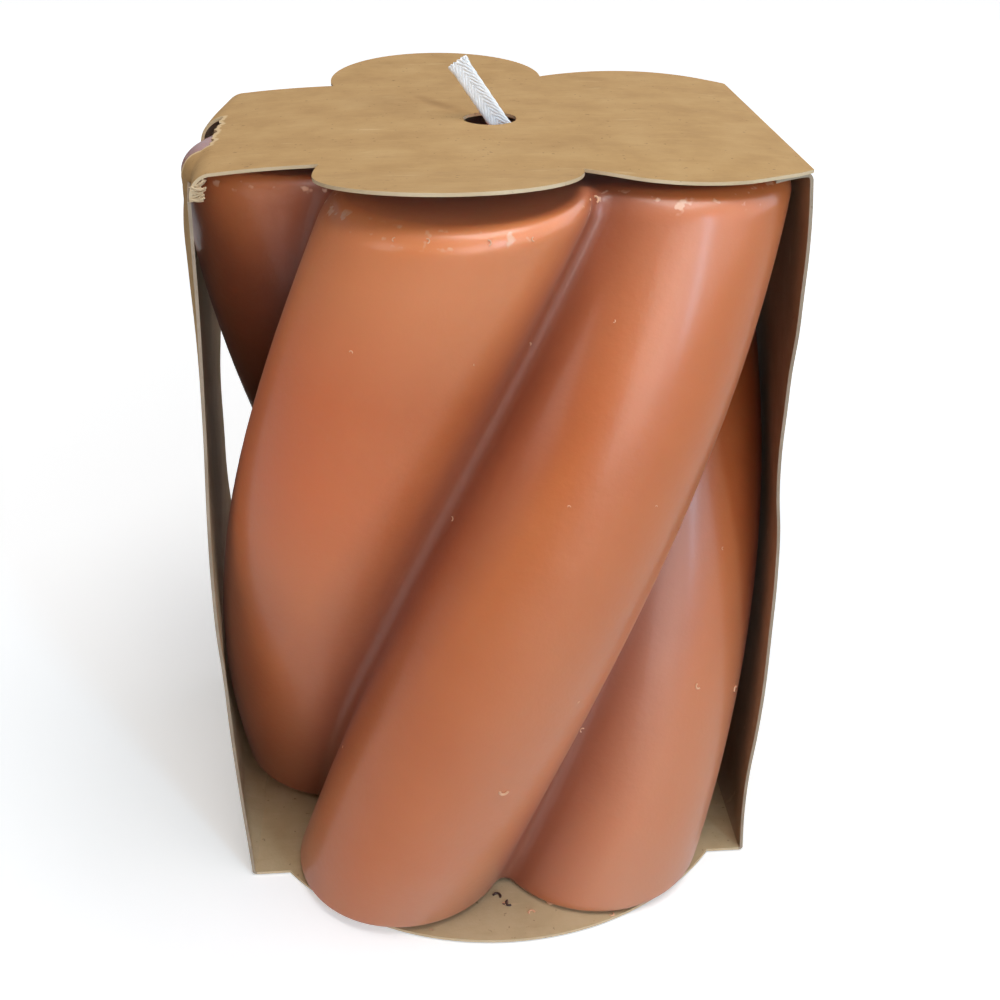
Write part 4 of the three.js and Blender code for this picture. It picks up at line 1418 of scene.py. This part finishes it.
sliver_grow, sliver_in, sliver_out = geometry_tree("bent_slivers", list(CRUMB))
sliver = {name: Formula(sliver_grow, sliver_in.outputs[name]) for name in CRUMB}
sliver_line = add_node(sliver_grow, "GeometryNodeCurvePrimitiveLine")
sliver_points = add_node(sliver_grow, "GeometryNodeResampleCurve", mode="COUNT")
sliver_points.inputs["Count"].default_value = SLIVER_POINTS
sliver_grow.links.new(sliver_line.outputs["Curve"], sliver_points.inputs["Curve"])
sliver_share = Formula(sliver_grow,
                       add_node(sliver_grow, "GeometryNodeSplineParameter").outputs["Factor"])
sliver_bend = sliver["Bend"] * (math.pi / 180)
sliver_radius = sliver["Length"] / sliver_bend * MM
sliver_turn = sliver_bend * sliver_share
sliver_arc = move_points(
    sliver_grow, sliver_points.outputs["Curve"],
    vector_from(sliver_grow, sliver_radius * sliver_turn.sin(),
                sliver_radius * (sliver_turn.cos() * -1.0 + 1.0), 0.0))
sliver_width = add_node(sliver_grow, "GeometryNodeSetCurveRadius")
sliver_grow.links.new(sliver_arc, sliver_width.inputs["Curve"])
sliver_grow.links.new((sliver["Taper"] * sliver_share * -1.0 + 1.0).socket,
                      sliver_width.inputs["Radius"])
sliver_mesh = swept_mesh(sliver_grow, sliver_width.outputs["Curve"],
                         sliver["Thickness"] * (0.5 * MM), SLIVER_CORNERS)

seed_values = {}
for label, kind in (("facing", "FLOAT_VECTOR"), ("along", "FLOAT_VECTOR"), ("size", "FLOAT")):
    seed_values[label] = add_node(sliver_grow, "GeometryNodeInputNamedAttribute", data_type=kind)
    seed_values[label].inputs["Name"].default_value = label
seed_turn = add_node(sliver_grow, "FunctionNodeAxesToRotation", primary_axis="Z",
                     secondary_axis="X")
sliver_grow.links.new(seed_values["facing"].outputs["Attribute"], seed_turn.inputs[0])
sliver_grow.links.new(seed_values["along"].outputs["Attribute"], seed_turn.inputs[1])
sliver_copies = add_node(sliver_grow, "GeometryNodeInstanceOnPoints")
for source, target in ((sliver_in.outputs["Geometry"], "Points"),
                       (sliver_mesh, "Instance"),
                       (seed_turn.outputs[0], "Rotation"),
                       (seed_values["size"].outputs["Attribute"], "Scale")):
    sliver_grow.links.new(source, sliver_copies.inputs[target])
end_tree(sliver_grow, sliver_copies.outputs["Instances"], sliver_in, sliver_out)


def seed_mesh(name, seeds):
    """A mesh of bare points. A seed is a place in millimetres, its two directions, its size and
    its shade from 0 for pale to 1 for dark."""
    places, facings, alongs, sizes, shades = zip(*seeds)
    mesh = bpy.data.meshes.new(name)
    mesh.from_pydata((np.array(places) * MM).tolist(), [], [])
    for label, kind, values in (("facing", "FLOAT_VECTOR", facings),
                                ("along", "FLOAT_VECTOR", alongs),
                                ("size", "FLOAT", sizes), ("shade", "FLOAT", shades)):
        target = mesh.attributes.new(label, kind, "POINT")
        target.data.foreach_set("vector" if kind == "FLOAT_VECTOR" else "value",
                                np.array(values, np.float32).ravel())
    return mesh


# %% [markdown]
# ## Crumbs
#
# Most curls and crumbs were picked out on the photograph, and their places on the wax and on the
# base panel were worked out from the camera. On the wax a place is a height and an angle, and the
# surface itself says which way a curl faces.

# %% Wax crumbs piece
crumb_finish, crumb_tree, crumb_shader = new_material("pale_wax_crumbs")
crumb_colour = mix_colours(crumb_tree, attribute(crumb_tree, "shade"), colour(232, 178, 140),
                           colour(62, 36, 28))
crumb_tree.links.new(crumb_colour, crumb_shader.inputs["Base Color"])
crumb_shader.inputs["Roughness"].default_value = 0.6
# Height and angle round the candle, then size, spin in degrees and shade
WAX_FLECKS = [
    (59.2, -103.1, 0.45, 20, 0), (84.9, -116.1, 0.35, 70, 0), (31.3, -41.7, 0.75, 200, 0),
    (26.8, -29.7, 0.75, 100, 0), (27.0, -91.2, 1.05, 250, 0), (25.0, -64.5, 0.6, 140, 0),
    (81.9, -83.9, 0.3, 10, 0), (65.8, -78.9, 0.3, 90, 0), (22.2, -132.9, 0.3, 40, 0),
    (48.0, -28.8, 0.35, 160, 0), (64.9, -63.6, 0.25, 60, 0), (38.6, -75.9, 0.3, 120, 0),
    (83.1, -96.6, 0.25, 200, 0), (85.8, -68.6, 0.3, 330, 0), (97.6, -94.0, 0.5, 0, 0),
    (97.8, -86.5, 0.4, 180, 0), (98.0, -103.5, 0.45, 15, 0), (98.3, -109.0, 0.4, 170, 0),
    (97.9, -67.0, 0.7, 5, 0), (97.7, -64.5, 0.6, 190, 0), (98.1, -69.5, 0.5, 30, 0),
]
# Place on the base panel, then size, spin in degrees and shade
BASE_CRUMBS = [
    (5.9, -31.8, 0.85, 230, 0), (3.9, -33.8, 0.8, 100, 0), (14.0, -35.0, 0.6, 300, 0),
    (18.7, -33.2, 0.6, 350, 0), (0.0, -32.3, 0.5, 40, 0), (-0.6, -30.9, 1.0, 60, 1),
    (0.4, -31.5, 0.9, 200, 1), (-0.3, -32.0, 0.7, 300, 0.8), (-10.0, -36.0, 0.4, 80, 0.3),
]


def wax_seed(height, angle, size, spin, shade):
    """A seed on the wax, with its spin measured from the direction round the candle."""
    rise = (height - CANDLE["Foot"]) / CANDLE["Height"]
    middle_x, middle_y, turn = wax_axis(rise)
    way = math.radians(angle)
    reach = float(wax_outline(np.array(way - turn)))
    place = np.array([middle_x + reach * math.cos(way), middle_y + reach * math.sin(way), height])
    nudges = np.eye(3) * 0.05
    facing = wax_gap(place + nudges) - wax_gap(place - nudges)
    facing = facing / np.linalg.norm(facing)
    round_way = np.cross((0, 0, 1), facing)
    up_way = np.cross(facing, round_way)
    along = round_way * math.cos(math.radians(spin)) + up_way * math.sin(math.radians(spin))
    return place + facing * (0.03 - wax_gap(place[None])[0]), facing, along, size, shade


crumb_seeds = [wax_seed(*fleck) for fleck in WAX_FLECKS]
crumb_seeds += [(np.array([x, y, CARD + 0.1]), (0, 0, 1),
                 (math.cos(math.radians(spin)), math.sin(math.radians(spin)), 0), size, shade)
                for x, y, size, spin, shade in BASE_CRUMBS]
wax_crumbs = grown_mesh("wax_crumbs", sliver_grow, CRUMB, crumb_finish,
                        seed_mesh("crumb_seeds", crumb_seeds))
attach(wax_crumbs, "base")

# %% [markdown]
# ## Frayed fibres
#
# The tuft hangs from the left front corner of the top panel's lip, wide at its top and narrow at
# its foot.

# %% Frayed fibres piece
FIBRES = 34
TUFT_X, TUFT_Y = -35.0, -20.0
TUFT_TOP, TUFT_HEIGHT = 98.8, 1.9

tuft_random = np.random.default_rng(4)
fibre_seeds = []
for _ in range(FIBRES):
    low_share = tuft_random.uniform(0, 1)
    place = (TUFT_X + tuft_random.uniform(0, 0.9) * (1 - 0.6 * low_share),
             TUFT_Y + tuft_random.uniform(-0.12, 0.3), TUFT_TOP - TUFT_HEIGHT * low_share)
    along = np.array([1.0, -0.25, tuft_random.uniform(-0.9, 0.3)])
    facing = np.array([tuft_random.uniform(-0.5, 0.5), -1.0, tuft_random.uniform(-0.5, 0.5)])
    fibre_seeds.append((place, facing, along, tuft_random.uniform(0.5, 1.2), 0))
frayed_fibres = grown_mesh("frayed_fibres", sliver_grow, FIBRE, card_cut,
                           seed_mesh("fibre_seeds", fibre_seeds))
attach(frayed_fibres, "top_panel")
